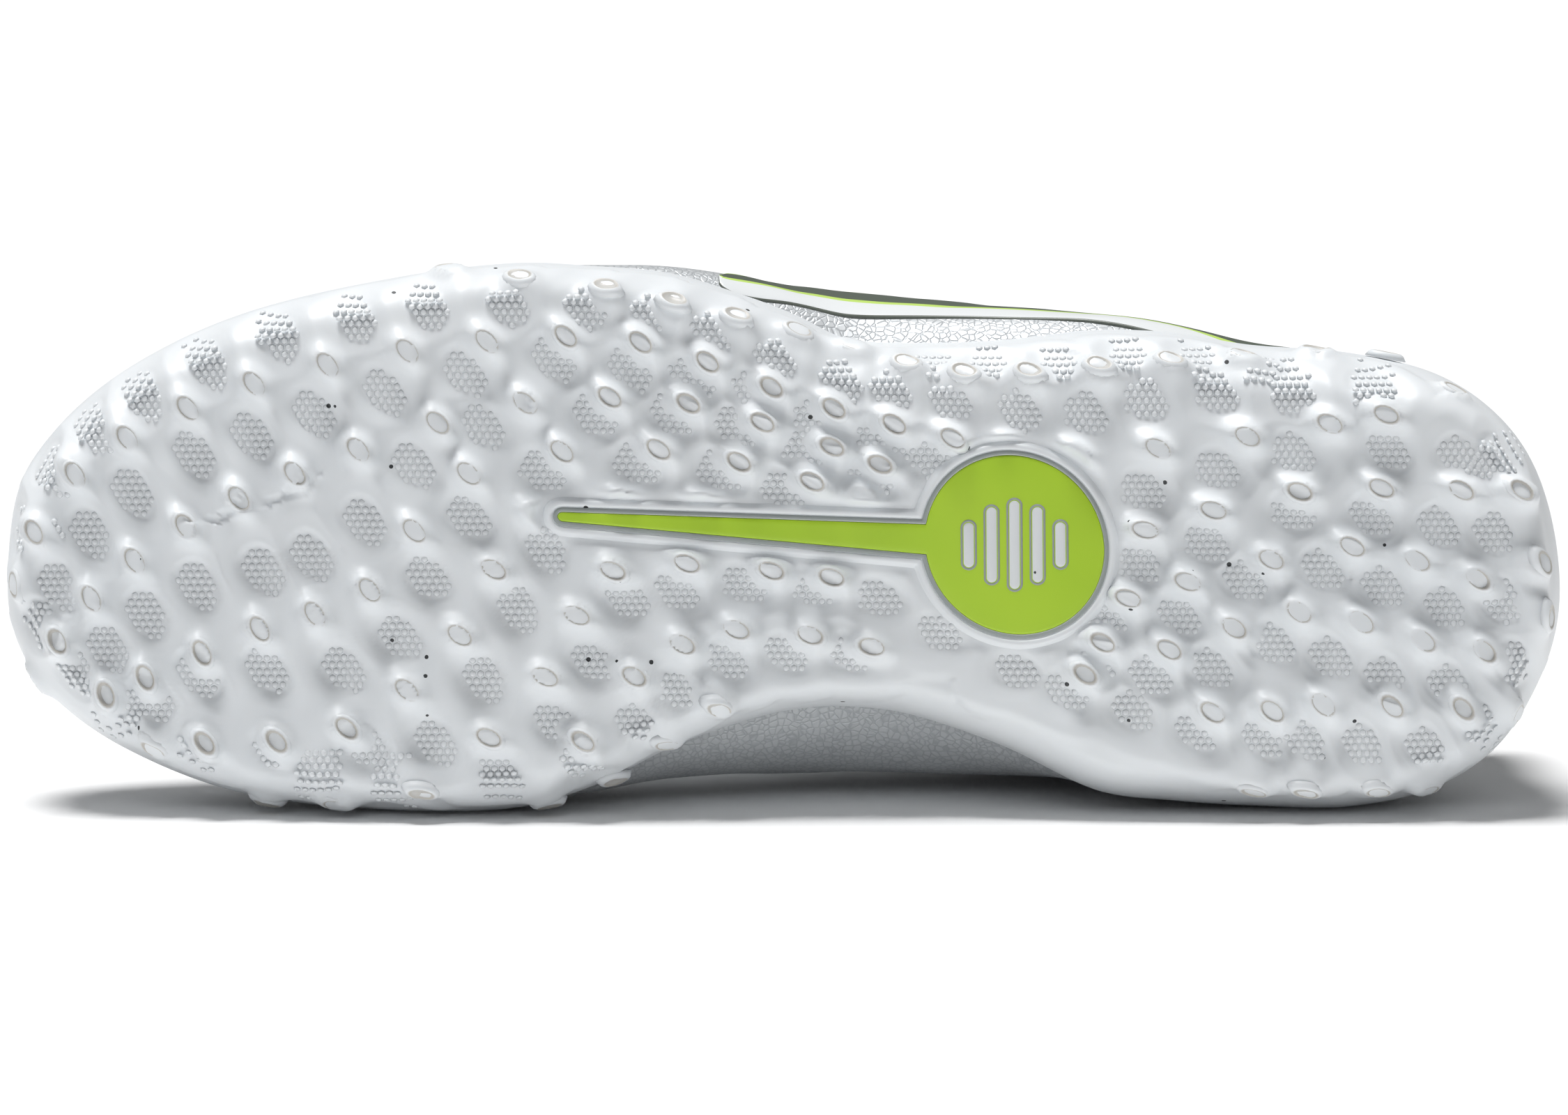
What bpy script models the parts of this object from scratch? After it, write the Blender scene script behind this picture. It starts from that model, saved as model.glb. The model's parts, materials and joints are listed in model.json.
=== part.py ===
"""A left turf shoe, built upright from its sections and then laid on its medial side.

Upright, the toe points to -X, the outer (lateral) side to -Y and the shoe's top to +Z. The heights
count from the plane of the stud tips. Places on the shoe are given as a share of the way round it:
0 is the toe tip, 0.25 the outer side, 0.5 the heel and 0.75 the inner side.
"""
import math

import bmesh
import bpy
from mathutils import Matrix, Vector

MM = 0.001

# Driving sizes
LENGTH = 290 * MM
BALL_WIDTH = 104 * MM
COLLAR_HEIGHT = 92 * MM
CUP_HEIGHT = 24 * MM
TOE_SPRING = 11 * MM
HEEL_SPRING = 3 * MM
ARCH_LIFT = 4 * MM
STUD_HEIGHT = 3 * MM
STUD_LENGTH = 5 * MM
STUD_WIDTH = 3.6 * MM
STUD_FLARE = 1.5
SIDE_STUD_SHARE = 0.45
CUP_WALL = 2.4 * MM
CUP_FLOOR = 3 * MM
FOREFOOT_FOAM = 4 * MM
HEEL_FOAM = 12 * MM
UPPER_WALL = 1.8 * MM
COLLAR_PAD = 3.6 * MM
INSOLE_THICKNESS = 4 * MM
TONGUE_THICKNESS = 3.5 * MM
EYESTAY_THICKNESS = 1 * MM
LACE_WIDTH = 6.5 * MM
LACE_THICKNESS = 1.2 * MM
EYELET_PAIRS = 6
INLAY_THICKNESS = 1.6 * MM
INLAY_DEPTH = 0.8 * MM
INLAY_RADIUS = 16.4 * MM
INLAY_BORDER = 1.6 * MM
GAP = 0.3 * MM

STATIONS = 64
FLARE_POWER = 2.2

# The rim's outline: share of the length from the toe, outer and inner edge as shares of the width
OUTLINE = (
    (0.000, -0.056, -0.056),
    (0.006, 0.100, -0.155),
    (0.030, 0.215, -0.258),
    (0.080, 0.331, -0.355),
    (0.155, 0.427, -0.432),
    (0.255, 0.490, -0.463),
    (0.330, 0.514, -0.458),
    (0.380, 0.508, -0.418),
    (0.430, 0.494, -0.350),
    (0.480, 0.451, -0.302),
    (0.510, 0.418, -0.285),
    (0.540, 0.378, -0.281),
    (0.580, 0.368, -0.295),
    (0.640, 0.372, -0.352),
    (0.700, 0.389, -0.432),
    (0.750, 0.384, -0.452),
    (0.800, 0.362, -0.462),
    (0.860, 0.349, -0.466),
    (0.920, 0.310, -0.430),
    (0.960, 0.236, -0.355),
    (0.985, 0.136, -0.248),
    (1.000, -0.074, -0.074),
)

# The cup's side wall: way round, how far the tread's edge lies inside the rim as a share of the
# width, and the rim's height over the tread as a share of the cup's height
SIDE_WALL = (
    (0.00, 0.055, 0.80),
    (0.10, 0.052, 0.72),
    (0.18, 0.052, 0.70),
    (0.24, 0.058, 0.74),
    (0.27, 0.072, 0.66),
    (0.31, 0.080, 0.66),
    (0.36, 0.074, 0.78),
    (0.42, 0.058, 0.95),
    (0.50, 0.050, 1.00),
    (0.58, 0.050, 0.95),
    (0.64, 0.050, 0.82),
    (0.70, 0.052, 0.68),
    (0.75, 0.040, 0.64),
    (0.80, 0.050, 0.64),
    (0.86, 0.050, 0.68),
    (0.93, 0.052, 0.74),
)

# The upper's top edge: way round, then share of the length from the toe, of the width (outer side
# positive) and of the collar's height
TOP_EDGE = (
    (0.00, 0.332, 0.010, 0.665),
    (0.06, 0.336, 0.045, 0.670),
    (0.12, 0.352, 0.092, 0.695),
    (0.18, 0.398, 0.126, 0.770),
    (0.22, 0.462, 0.138, 0.865),
    (0.26, 0.545, 0.150, 0.985),
    (0.29, 0.606, 0.208, 0.985),
    (0.33, 0.700, 0.252, 0.850),
    (0.38, 0.812, 0.226, 0.800),
    (0.44, 0.925, 0.112, 0.890),
    (0.50, 0.958, -0.058, 0.955),
    (0.56, 0.925, -0.228, 0.890),
    (0.62, 0.812, -0.335, 0.800),
    (0.67, 0.700, -0.330, 0.850),
    (0.71, 0.606, -0.232, 0.985),
    (0.74, 0.545, -0.140, 0.985),
    (0.78, 0.462, -0.120, 0.865),
    (0.82, 0.398, -0.106, 0.770),
    (0.88, 0.352, -0.072, 0.695),
    (0.94, 0.336, -0.028, 0.670),
)

# How full the upper is: way round, then the section's handles as shares of the width: out and up
# from the rim, and out and down from the top edge
FULLNESS = (
    (0.00, -0.020, 0.150, 0.500, 0.050),
    (0.07, -0.015, 0.150, 0.450, 0.060),
    (0.14, 0.005, 0.150, 0.350, 0.090),
    (0.20, 0.040, 0.160, 0.250, 0.120),
    (0.25, 0.160, 0.180, 0.210, 0.110),
    (0.275, 0.210, 0.190, 0.180, 0.130),
    (0.30, 0.160, 0.200, 0.140, 0.180),
    (0.36, 0.040, 0.180, 0.050, 0.200),
    (0.43, 0.000, 0.160, 0.020, 0.200),
    (0.50, -0.005, 0.160, 0.020, 0.220),
    (0.57, 0.000, 0.160, 0.020, 0.200),
    (0.64, -0.010, 0.180, 0.030, 0.200),
    (0.67, -0.015, 0.190, 0.040, 0.190),
    (0.70, 0.100, 0.200, 0.100, 0.180),
    (0.725, 0.230, 0.200, 0.180, 0.140),
    (0.75, 0.270, 0.180, 0.210, 0.110),
    (0.80, 0.030, 0.160, 0.220, 0.120),
    (0.86, -0.005, 0.150, 0.320, 0.100),
    (0.93, -0.010, 0.150, 0.440, 0.060),
)
UPPER_STEPS = (0.13, 0.28, 0.43, 0.58, 0.70, 0.80, 0.90, 1.0)

# The tongue: share of the length from the toe, then height as a share of the collar's height, half
# the width and the fall of its edges as shares of the width
TONGUE = (
    (0.290, 0.645, 0.110, 0.015),
    (0.340, 0.714, 0.150, 0.045),
    (0.410, 0.834, 0.190, 0.090),
    (0.490, 0.967, 0.215, 0.112),
    (0.560, 1.070, 0.212, 0.115),
    (0.650, 1.162, 0.200, 0.080),
)

# The rows of studs: for some of a row's studs its number, then the place as shares of the length
# from the toe and of the width
STUD_ROWS = {
    "side": ((0, 0.289, 0.489), (2, 0.389, 0.458), (5, 0.509, 0.378), (8, 0.616, 0.304),
             (11, 0.746, 0.322), (14, 0.887, 0.335), (15, 0.927, 0.269)),
    "outer": ((0, 0.014, -0.056), (2, 0.051, 0.139), (5, 0.166, 0.297), (8, 0.314, 0.369),
              (10, 0.411, 0.366), (13, 0.533, 0.248), (17, 0.687, 0.167), (21, 0.882, 0.232)),
    "second": ((0, 0.024, -0.217), (2, 0.061, -0.081), (4, 0.122, 0.046), (7, 0.232, 0.180),
               (9, 0.338, 0.260), (11, 0.441, 0.258), (14, 0.562, 0.149)),
    "third": ((0, 0.070, -0.252), (3, 0.169, -0.136), (5, 0.239, -0.068), (7, 0.302, 0.136),
              (9, 0.422, 0.177), (12, 0.551, 0.093)),
    "fourth": ((0, 0.101, -0.338), (3, 0.224, -0.312), (5, 0.296, -0.149), (7, 0.344, 0.064),
               (9, 0.451, 0.081)),
    "fifth": ((0, 0.171, -0.434), (2, 0.271, -0.415), (4, 0.350, -0.223), (6, 0.393, -0.037),
              (9, 0.531, -0.050)),
    "inner": ((0, 0.349, -0.440), (2, 0.406, -0.223), (4, 0.471, -0.142), (6, 0.556, -0.173)),
    "arch": ((0, 0.391, -0.400), (2, 0.458, -0.270)),
    "heel outer": ((0, 0.729, 0.031), (2, 0.827, 0.097), (5, 0.965, 0.095)),
    "heel second": ((0, 0.718, -0.089), (3, 0.860, 0.000), (5, 0.940, -0.059), (6, 0.978, -0.031)),
    "heel third": ((0, 0.702, -0.167), (1, 0.744, -0.180), (3, 0.826, -0.115), (6, 0.944, -0.186),
                   (7, 0.982, -0.124)),
    "heel fourth": ((0, 0.691, -0.223), (1, 0.771, -0.291), (3, 0.841, -0.279), (6, 0.962, -0.291)),
    "heel inner": ((0, 0.798, -0.421), (3, 0.909, -0.420)),
}
STUD_LEAN = math.radians(40)

# The inlay's middle line, as shares of the length and the width
INLAY_TIP = (0.358, 0.060)
INLAY_CENTRE = (0.647, 0.006)
INLAY_TIP_WIDTH = 1.6 * MM
INLAY_STEM_WIDTH = 6.4 * MM


def soft_step(low, high, value):
    """Rise from 0 at low to 1 at high with no corner."""
    share = min(max((value - low) / (high - low), 0.0), 1.0)
    return share * share * (3 - 2 * share)


def hermite(knots, values, place):
    """Smooth curve between the two middle ones of four knots."""
    span = knots[2] - knots[1]
    share = (place - knots[1]) / span
    square, cube = share ** 2, share ** 3
    result = []
    for before, start, end, after in zip(*values):
        leave = (end - before) / (knots[2] - knots[0]) * span
        arrive = (after - start) / (knots[3] - knots[1]) * span
        result.append((2 * cube - 3 * square + 1) * start + (cube - 2 * square + share) * leave
                      + (3 * square - 2 * cube) * end + (cube - square) * arrive)
    return result


def read_round(rows, way):
    """A table whose first column is the way round the shoe, read smoothly through its seam."""
    way %= 1.0
    count = len(rows)
    here = max(index for index in range(count) if rows[index][0] <= way)
    near = [here + step for step in (-1, 0, 1, 2)]
    knots = [rows[index % count][0] + index // count for index in near]
    return hermite(knots, [rows[index % count][1:] for index in near], way)


def read_along(rows, place):
    """A table whose first column runs along the piece, read smoothly between its two ends."""
    last = len(rows) - 1
    here = min(max([index for index in range(last) if rows[index][0] <= place] or [0]), last - 1)
    first = (2 * rows[0][0] - rows[1][0], *rows[0][1:])
    final = (2 * rows[last][0] - rows[last - 1][0], *rows[last][1:])
    padded = (first, *rows, final)
    four = padded[here:here + 4]
    return hermite([row[0] for row in four], [row[1:] for row in four], place)


def way_from_along(along):
    """Way round, on the outer side, of a share of the length."""
    return math.acos(1 - 2 * along) / (2 * math.pi)


RIM = tuple(sorted(
    [(way_from_along(along), outer) for along, outer, inner in OUTLINE]
    + [(1 - way_from_along(along), inner) for along, outer, inner in OUTLINE[1:-1]]))


def plan_point(along, across):
    """Shares of the length and the width to a point of the plan."""
    return Vector(((along - 0.5) * LENGTH, -across * BALL_WIDTH))


def rim_point(way, inset=0.0):
    """Point of the rim's outline in plan, moved inward by the inset."""
    step = 0.002
    across = read_round(RIM, way)[0]
    along = (1 - math.cos(2 * math.pi * way)) / 2
    ahead = plan_point((1 - math.cos(2 * math.pi * (way + step))) / 2, read_round(RIM, way + step)[0])
    behind = plan_point((1 - math.cos(2 * math.pi * (way - step))) / 2, read_round(RIM, way - step)[0])
    direction = (ahead - behind).normalized()
    return plan_point(along, across) + inset * Vector((-direction.y, direction.x))


def outward(way):
    """Level unit vector that points away from the shoe."""
    return (rim_point(way) - rim_point(way, MM)).normalized()


def spine_point(way):
    """Point of the sole's middle line that belongs to a place on the rim."""
    along = 0.5 - 0.36 * math.cos(2 * math.pi * way)
    side = way_from_along(along)
    middle = (read_round(RIM, side)[0] + read_round(RIM, 1 - side)[0]) / 2
    return plan_point(along, middle)


def tread_base(point):
    """Height of the rubber between the studs over a point of the plan."""
    along = point.x / LENGTH + 0.5
    across = -point.y / BALL_WIDTH
    toe = TOE_SPRING * max(0.0, (0.32 - along) / 0.32) ** 2
    heel = HEEL_SPRING * max(0.0, (along - 0.84) / 0.16) ** 2
    arch = ARCH_LIFT * math.exp(-((along - 0.55) / 0.11) ** 2) * (1 - 0.75 * soft_step(-0.3, 0.3, across))
    return STUD_HEIGHT + toe + heel + arch


def foam_height(point):
    """Height of the midsole's top over a point of the plan."""
    along = point.x / LENGTH + 0.5
    foam = FOREFOOT_FOAM + (HEEL_FOAM - FOREFOOT_FOAM) * soft_step(0.35, 0.75, along)
    return tread_base(point) + CUP_FLOOR + foam


def wall_inset(way, rise):
    """How far the cup's outer face lies inside the rim, at a share of the side wall's height."""
    roll = read_round(SIDE_WALL, way)[0] * BALL_WIDTH
    return roll * (1 - rise) ** FLARE_POWER


def rim_rise(way):
    return read_round(SIDE_WALL, way)[1] * CUP_HEIGHT


def wall_point(way, rise, inward=0.0):
    """Point of the side wall, or one moved straight inward from it."""
    place = rim_point(way, wall_inset(way, rise) + inward)
    foot = tread_base(rim_point(way, wall_inset(way, 0)))
    return Vector((place.x, place.y, foot + rise * rim_rise(way)))


def foot_share(way, height):
    """The share of the side wall at which a height over the tread lies."""
    return min(height / rim_rise(way), 0.9)


def floor_point(way, inset, share, height):
    """Point between the side wall (share 0) and the middle line (share 1), at height(point)."""
    place = rim_point(way, inset).lerp(spine_point(way), share)
    return Vector((place.x, place.y, height(place)))


def cup_floor(point):
    return tread_base(point) + CUP_FLOOR


def foam_edge_inset(way):
    """Inset of the cup's inner face where the upper's foot stands."""
    foot = rim_point(way, wall_inset(way, 0.3) + CUP_WALL)
    rise = foot_share(way, foam_height(foot) - tread_base(foot))
    return wall_inset(way, rise) + CUP_WALL


def cup_corner_inset(way):
    """Inset of the corner between the cup's inner face and its floor."""
    return wall_inset(way, foot_share(way, CUP_FLOOR)) + CUP_WALL + GAP


def offset(height, lift):
    """The same height function, lifted."""
    return lambda point: height(point) + lift


def ways():
    return [index / STATIONS for index in range(STATIONS)]


def fill_rings(mesh, rings, closed_section=False):
    """Quads between neighbouring rings of vertices."""
    pairs = list(zip(rings, rings[1:]))
    if closed_section:
        pairs.append((rings[-1], rings[0]))
    count = len(rings[0])
    for low, high in pairs:
        for index in range(count):
            after = (index + 1) % count
            mesh.faces.new((low[index], low[after], high[after], high[index]))


def fill_spine(mesh, ring):
    """Close a ring with faces across its middle line, from the outer to the inner side."""
    count = len(ring)
    half = count // 2
    mesh.faces.new((ring[0], ring[1], ring[count - 1]))
    mesh.faces.new((ring[half - 1], ring[half], ring[half + 1]))
    for index in range(1, half - 1):
        mesh.faces.new((ring[index], ring[index + 1], ring[count - index - 1], ring[count - index]))


def add_mesh_object(name, mesh, colour, roughness):
    """Turn a bmesh into a smooth object with its own material."""
    bmesh.ops.recalc_face_normals(mesh, faces=mesh.faces)
    data = bpy.data.meshes.new(name)
    mesh.to_mesh(data)
    mesh.free()
    data.shade_smooth()
    data.set_sharp_from_angle(angle=math.radians(35))
    return add_object(name, data, colour, roughness)


def add_object(name, data, colour, roughness):
    shoe = bpy.data.objects.new(name, data)
    material = bpy.data.materials.new(name)
    material.use_nodes = True
    surface = material.node_tree.nodes["Principled BSDF"]
    surface.inputs["Base Color"].default_value = (*colour, 1)
    surface.inputs["Roughness"].default_value = roughness
    data.materials.append(material)
    parts.objects.link(shoe)
    return shoe


def add_cutter(name, mesh):
    """A closed tool shape, kept out of the finished part."""
    bmesh.ops.recalc_face_normals(mesh, faces=mesh.faces)
    data = bpy.data.meshes.new(name)
    mesh.to_mesh(data)
    mesh.free()
    tool = bpy.data.objects.new(name, data)
    tool.hide_render = True
    tool.display_type = 'WIRE'
    cutters.objects.link(tool)
    return tool


def add_boolean(target, tool, operation):
    modifier = target.modifiers.new(tool.name, 'BOOLEAN')
    modifier.operation = operation
    modifier.object = tool


def ring_loft(sections, capped=True):
    """Mesh from a function section(way) that lists a section's points, swept round the shoe."""
    mesh = bmesh.new()
    columns = [sections(way) for way in ways()]
    rings = [[mesh.verts.new(column[row]) for column in columns] for row in range(len(columns[0]))]
    fill_rings(mesh, rings, closed_section=not capped)
    if capped:
        fill_spine(mesh, rings[0])
        fill_spine(mesh, rings[-1])
    return mesh


# Outsole

def cup_section(way):
    """Underside from the middle out, up the flared wall, over the rim and down to the floor."""
    roll = wall_inset(way, 0)
    underside = [floor_point(way, roll * 1.6, share, tread_base) for share in (0.92, 0.5, 0.0)]
    wall = [wall_point(way, rise) for rise in (0.0, 0.25, 0.58, 0.92)]
    rim = wall_point(way, 1.0, CUP_WALL * 0.3)
    lip = wall_point(way, 1.0, CUP_WALL)
    edge_inset = foam_edge_inset(way)
    edge = floor_point(way, edge_inset, 0.0, foam_height)
    corner = floor_point(way, cup_corner_inset(way), 0.0, cup_floor)
    floor = floor_point(way, cup_corner_inset(way), 0.92, cup_floor)
    return [*underside, *wall, rim, lip, edge, corner, floor]


def nearest_way(point):
    """Place on the rim nearest to a point of the plan, and the distance to it."""
    samples = [index / 180 for index in range(180)]
    way = min(samples, key=lambda sample: (rim_point(sample) - point).length)
    fine = [way + step / 1800 for step in range(-9, 10)]
    way = min(fine, key=lambda sample: (rim_point(sample) - point).length)
    return way, (rim_point(way) - point).length


def surface_at(point):
    """Height and outward direction of the sole's outer face under a point of the plan."""
    way, inset = nearest_way(point)
    roll = wall_inset(way, 0)
    if inset >= roll:
        return tread_base(point), Vector((0, 0, -1))
    rise = 1 - (max(inset, 0.0) / roll) ** (1 / FLARE_POWER)
    place = wall_point(way, rise)
    across = FLARE_POWER * roll * (1 - rise) ** (FLARE_POWER - 1)
    out = outward(way)
    normal = Vector((out.x * rim_rise(way), out.y * rim_rise(way), -across)).normalized()
    return place.z, normal


def stud_places():
    """Plan points of all studs, from the rows' known ones."""
    places = []
    for row in STUD_ROWS.values():
        for number in range(round(row[-1][0]) + 1):
            along, across = read_along(row, number)
            places.append(plan_point(along, across))
    return places


def add_stud(mesh, place):
    """Oval frustum on the tread whose tip faces the ground, or outward on the side wall."""
    height, normal = surface_at(place)
    bury = 1.2 * MM
    depth = bury + STUD_HEIGHT * (SIDE_STUD_SHARE + (1 - SIDE_STUD_SHARE) * abs(normal.z) ** 4)
    lean = Matrix.Rotation(STUD_LEAN, 4, 'Z')
    size = Matrix.Diagonal((STUD_LENGTH / STUD_WIDTH, 1, 1, 1))
    turn = Vector((0, 0, -1)).rotation_difference(normal).to_matrix().to_4x4()
    middle = Vector((place.x, place.y, height)) + normal * (depth / 2 - bury)
    bmesh.ops.create_cone(
        mesh, cap_ends=True, segments=6, radius1=STUD_WIDTH / 2,
        radius2=STUD_WIDTH / 2 * STUD_FLARE, depth=depth,
        matrix=Matrix.Translation(middle) @ turn @ lean @ size)


def inlay_half_width(along, grow):
    """Half the inlay's width at a share of the length: a tapered stem, then a round plate."""
    start = INLAY_TIP[0] * LENGTH - grow
    centre = INLAY_CENTRE[0] * LENGTH
    place = along * LENGTH
    radius = INLAY_RADIUS + grow
    share = max(0.0, (place - start) / (centre - start))
    stem = (INLAY_TIP_WIDTH + (INLAY_STEM_WIDTH - INLAY_TIP_WIDTH) * share) / 2 + grow
    tip = INLAY_TIP_WIDTH / 2 + grow
    reach = place - start
    if reach < tip:
        stem = math.sqrt(max(tip ** 2 - (tip - reach) ** 2, 0.0))
    plate = math.sqrt(max(radius ** 2 - (place - centre) ** 2, 0.0))
    return max(stem if place < centre else 0.0, plate)


def inlay_mesh(grow, above, below):
    """The inlay's shape, grown in plan, between two distances over and under the tread."""
    start = INLAY_TIP[0] - grow / LENGTH
    end = INLAY_CENTRE[0] + (INLAY_RADIUS + grow) / LENGTH
    neck = INLAY_CENTRE[0] - (INLAY_RADIUS + grow) / LENGTH
    ends = [0.5 - 0.5 * math.cos(math.pi * index / 14) for index in range(15)]
    stem = [start + (neck - start) * index / 8 for index in range(8)]
    places = [start + 0.0004, start + 0.0035, *stem[1:], *[neck + (end - neck) * share for share in ends[1:-1]]]
    mesh = bmesh.new()
    sections = []
    for along in places:
        share = (along - INLAY_TIP[0]) / (INLAY_CENTRE[0] - INLAY_TIP[0])
        across = INLAY_TIP[1] + (INLAY_CENTRE[1] - INLAY_TIP[1]) * share
        half = inlay_half_width(along, grow)
        middle = plan_point(along, across)
        section = []
        for side, lift in ((-1, above), (0, above), (1, above), (1, -below), (0, -below), (-1, -below)):
            point = middle + Vector((0, side * half))
            section.append(mesh.verts.new((point.x, point.y, tread_base(point) + lift)))
        sections.append(section)
    fill_rings(mesh, sections)
    for section in (sections[0], sections[-1]):
        mesh.faces.new((section[0], section[1], section[4], section[5]))
        mesh.faces.new((section[1], section[2], section[3], section[4]))
    return mesh


def build_outsole():
    outsole = add_mesh_object("outsole", ring_loft(cup_section), (0.86, 0.88, 0.90), 0.5)
    mesh = bmesh.new()
    for place in stud_places():
        add_stud(mesh, place)
    add_boolean(outsole, add_cutter("studs", mesh), 'UNION')
    border = add_cutter("inlay_border", inlay_mesh(INLAY_BORDER, CUP_FLOOR / 2, INLAY_DEPTH))
    add_boolean(outsole, border, 'UNION')
    recess = add_cutter("inlay_recess", inlay_mesh(GAP, INLAY_DEPTH + GAP, 2 * INLAY_THICKNESS))
    add_boolean(outsole, recess, 'DIFFERENCE')


def build_inlay():
    mesh = inlay_mesh(0.0, INLAY_DEPTH, INLAY_THICKNESS - INLAY_DEPTH)
    add_mesh_object("sole_inlay", mesh, (0.42, 0.65, 0.04), 0.4)


# Midsole and insole

def foam_section(way):
    corner = cup_corner_inset(way) + GAP
    edge = foam_edge_inset(way) + GAP
    low, high = offset(cup_floor, 2 * GAP), foam_height
    return [*[floor_point(way, corner, share, low) for share in (0.92, 0.0)],
            *[floor_point(way, edge, share, high) for share in (0.0, 0.92)]]


def insole_section(way):
    inset = foam_edge_inset(way) + GAP + UPPER_WALL + 2 * GAP
    low, high = offset(foam_height, GAP), offset(foam_height, GAP + INSOLE_THICKNESS)
    return [*[floor_point(way, inset, share, low) for share in (0.92, 0.0)],
            *[floor_point(way, inset, share, high) for share in (0.0, 0.5, 0.92)]]


# Upper

def upper_handles(way):
    """The four points of the section's curve, from the rim to the top edge."""
    start = wall_point(way, 1.0, CUP_WALL + GAP)
    along, across, height = read_round(TOP_EDGE, way)
    place = plan_point(along, across)
    end = Vector((place.x, place.y, height * COLLAR_HEIGHT))
    low_out, low_up, top_out, top_down = [share * BALL_WIDTH for share in read_round(FULLNESS, way)]
    out = outward(way).to_3d()
    return start, start + out * low_out + Vector((0, 0, low_up)), end + out * top_out - Vector((0, 0, top_down)), end


def upper_point(way, rise):
    """Point of the upper's outer face: rise 0 is at the rim and 1 at the top edge."""
    start, low, high, end = upper_handles(way)
    left = 1 - rise
    return left ** 3 * start + 3 * left ** 2 * rise * low + 3 * left * rise ** 2 * high + rise ** 3 * end


def upper_normal(way, rise):
    step = 0.004
    round_shoe = upper_point(way + step, rise) - upper_point(way - step, rise)
    up = upper_point(way, min(rise + step, 1.0)) - upper_point(way, max(rise - step, 0.0))
    return round_shoe.cross(up).normalized()


def upper_wall(way, rise):
    """Wall thickness, with the collar's padding behind the throat."""
    behind = soft_step(0.27, 0.32, way) * (1 - soft_step(0.68, 0.73, way))
    return UPPER_WALL + COLLAR_PAD * behind * soft_step(0.45, 0.8, rise) * (1 - 0.6 * soft_step(0.85, 1.0, rise))


RIM_SWELL = 0.12


def upper_faces(way, rise):
    """Outer and inner point of the wall, which swells out over the cup's lip just above the rim."""
    point, normal = upper_point(way, rise), upper_normal(way, rise)
    wall, swell = upper_wall(way, rise), soft_step(0.0, RIM_SWELL, rise)
    return point + normal * wall * swell, point - normal * wall * (1 - swell)


def upper_section(way):
    foot = floor_point(way, foam_edge_inset(way) + GAP, 0.0, offset(foam_height, GAP))
    rim = upper_point(way, 0.0)
    out = outward(way).to_3d()
    outer = [foot, rim]
    inner = [foot - out * UPPER_WALL, rim - out * UPPER_WALL]
    for rise in UPPER_STEPS:
        outside, inside = upper_faces(way, rise)
        outer.append(outside)
        inner.append(inside)
    crown = (outer[-1] + inner[-1]) / 2 + Vector((0, 0, UPPER_WALL * 0.4))
    return [*outer, crown, *reversed(inner)]


def build_upper():
    mesh = ring_loft(upper_section, capped=False)
    add_mesh_object("upper", mesh, (0.70, 0.72, 0.74), 0.45)


# Tongue and lace facing

def grid_mesh(columns):
    """Open sheet from columns of points."""
    mesh = bmesh.new()
    sheet = [[mesh.verts.new(point) for point in column] for column in columns]
    for left, right in zip(sheet, sheet[1:]):
        for index in range(len(left) - 1):
            mesh.faces.new((left[index], left[index + 1], right[index + 1], right[index]))
    return mesh


def add_sheet(name, columns, thickness, colour, roughness):
    """Sheet thickened away from its first side with a Solidify modifier."""
    mesh = grid_mesh(columns)
    data = bpy.data.meshes.new(name)
    mesh.to_mesh(data)
    mesh.free()
    data.shade_smooth()
    sheet = add_object(name, data, colour, roughness)
    solid = sheet.modifiers.new("Thickness", 'SOLIDIFY')
    solid.thickness = thickness
    solid.offset = 1
    return sheet


def tongue_middle(along):
    """Height of the tongue's middle line, half its width and the fall of its edges."""
    height, half, fall = read_along(TONGUE, along)
    return height * COLLAR_HEIGHT, half * BALL_WIDTH, fall * BALL_WIDTH


def throat_across(along):
    """Middle of the throat, as a share of the width."""
    return 0.010 - 0.020 * soft_step(0.5, 0.65, along)


def build_tongue():
    columns = []
    for step in range(13):
        along = TONGUE[0][0] + (TONGUE[-1][0] - TONGUE[0][0]) * step / 12
        height, half, fall = tongue_middle(along)
        column = []
        for side in (-1, -0.8, -0.55, -0.28, 0, 0.28, 0.55, 0.8, 1):
            place = plan_point(along, throat_across(along)) + Vector((0, side * half))
            column.append(Vector((place.x, place.y, height - fall * side ** 2 - TONGUE_THICKNESS)))
        columns.append(column)
    add_sheet("tongue", columns, TONGUE_THICKNESS, (0.62, 0.64, 0.66), 0.8)


EYESTAY_END = 0.265
EYESTAY_RISES = (0.80, 0.90, 0.985)


def over_upper(way, rise, lift):
    """A point that clears the upper, and the direction away from the foot there."""
    normal = upper_normal(way, rise)
    return upper_faces(way, rise)[0] + normal * lift, normal


def build_eyestay():
    """Band over the upper round the throat, on the upper's own stations."""
    columns = []
    reach = round(EYESTAY_END * STATIONS)
    for index in range(reach, -reach - 1, -1):
        way = index / STATIONS
        columns.append([over_upper(way, rise, 2 * GAP)[0] for rise in EYESTAY_RISES])
    add_sheet("eyestay", columns, EYESTAY_THICKNESS, (0.75, 0.76, 0.77), 0.5)


# Laces

LACE_LIFT = EYESTAY_THICKNESS + 4 * GAP
LACE_DIP = 0.5 * MM
LACE_STEP = 0.12 * MM
EYELET_RISE = 0.90
THROAT_SHARE = 0.22


def eyelet_way(number):
    """Way round, on the outer side, of an eyelet counted from the toe end."""
    return 0.115 + (0.252 - 0.115) * number / (EYELET_PAIRS - 1)


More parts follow.
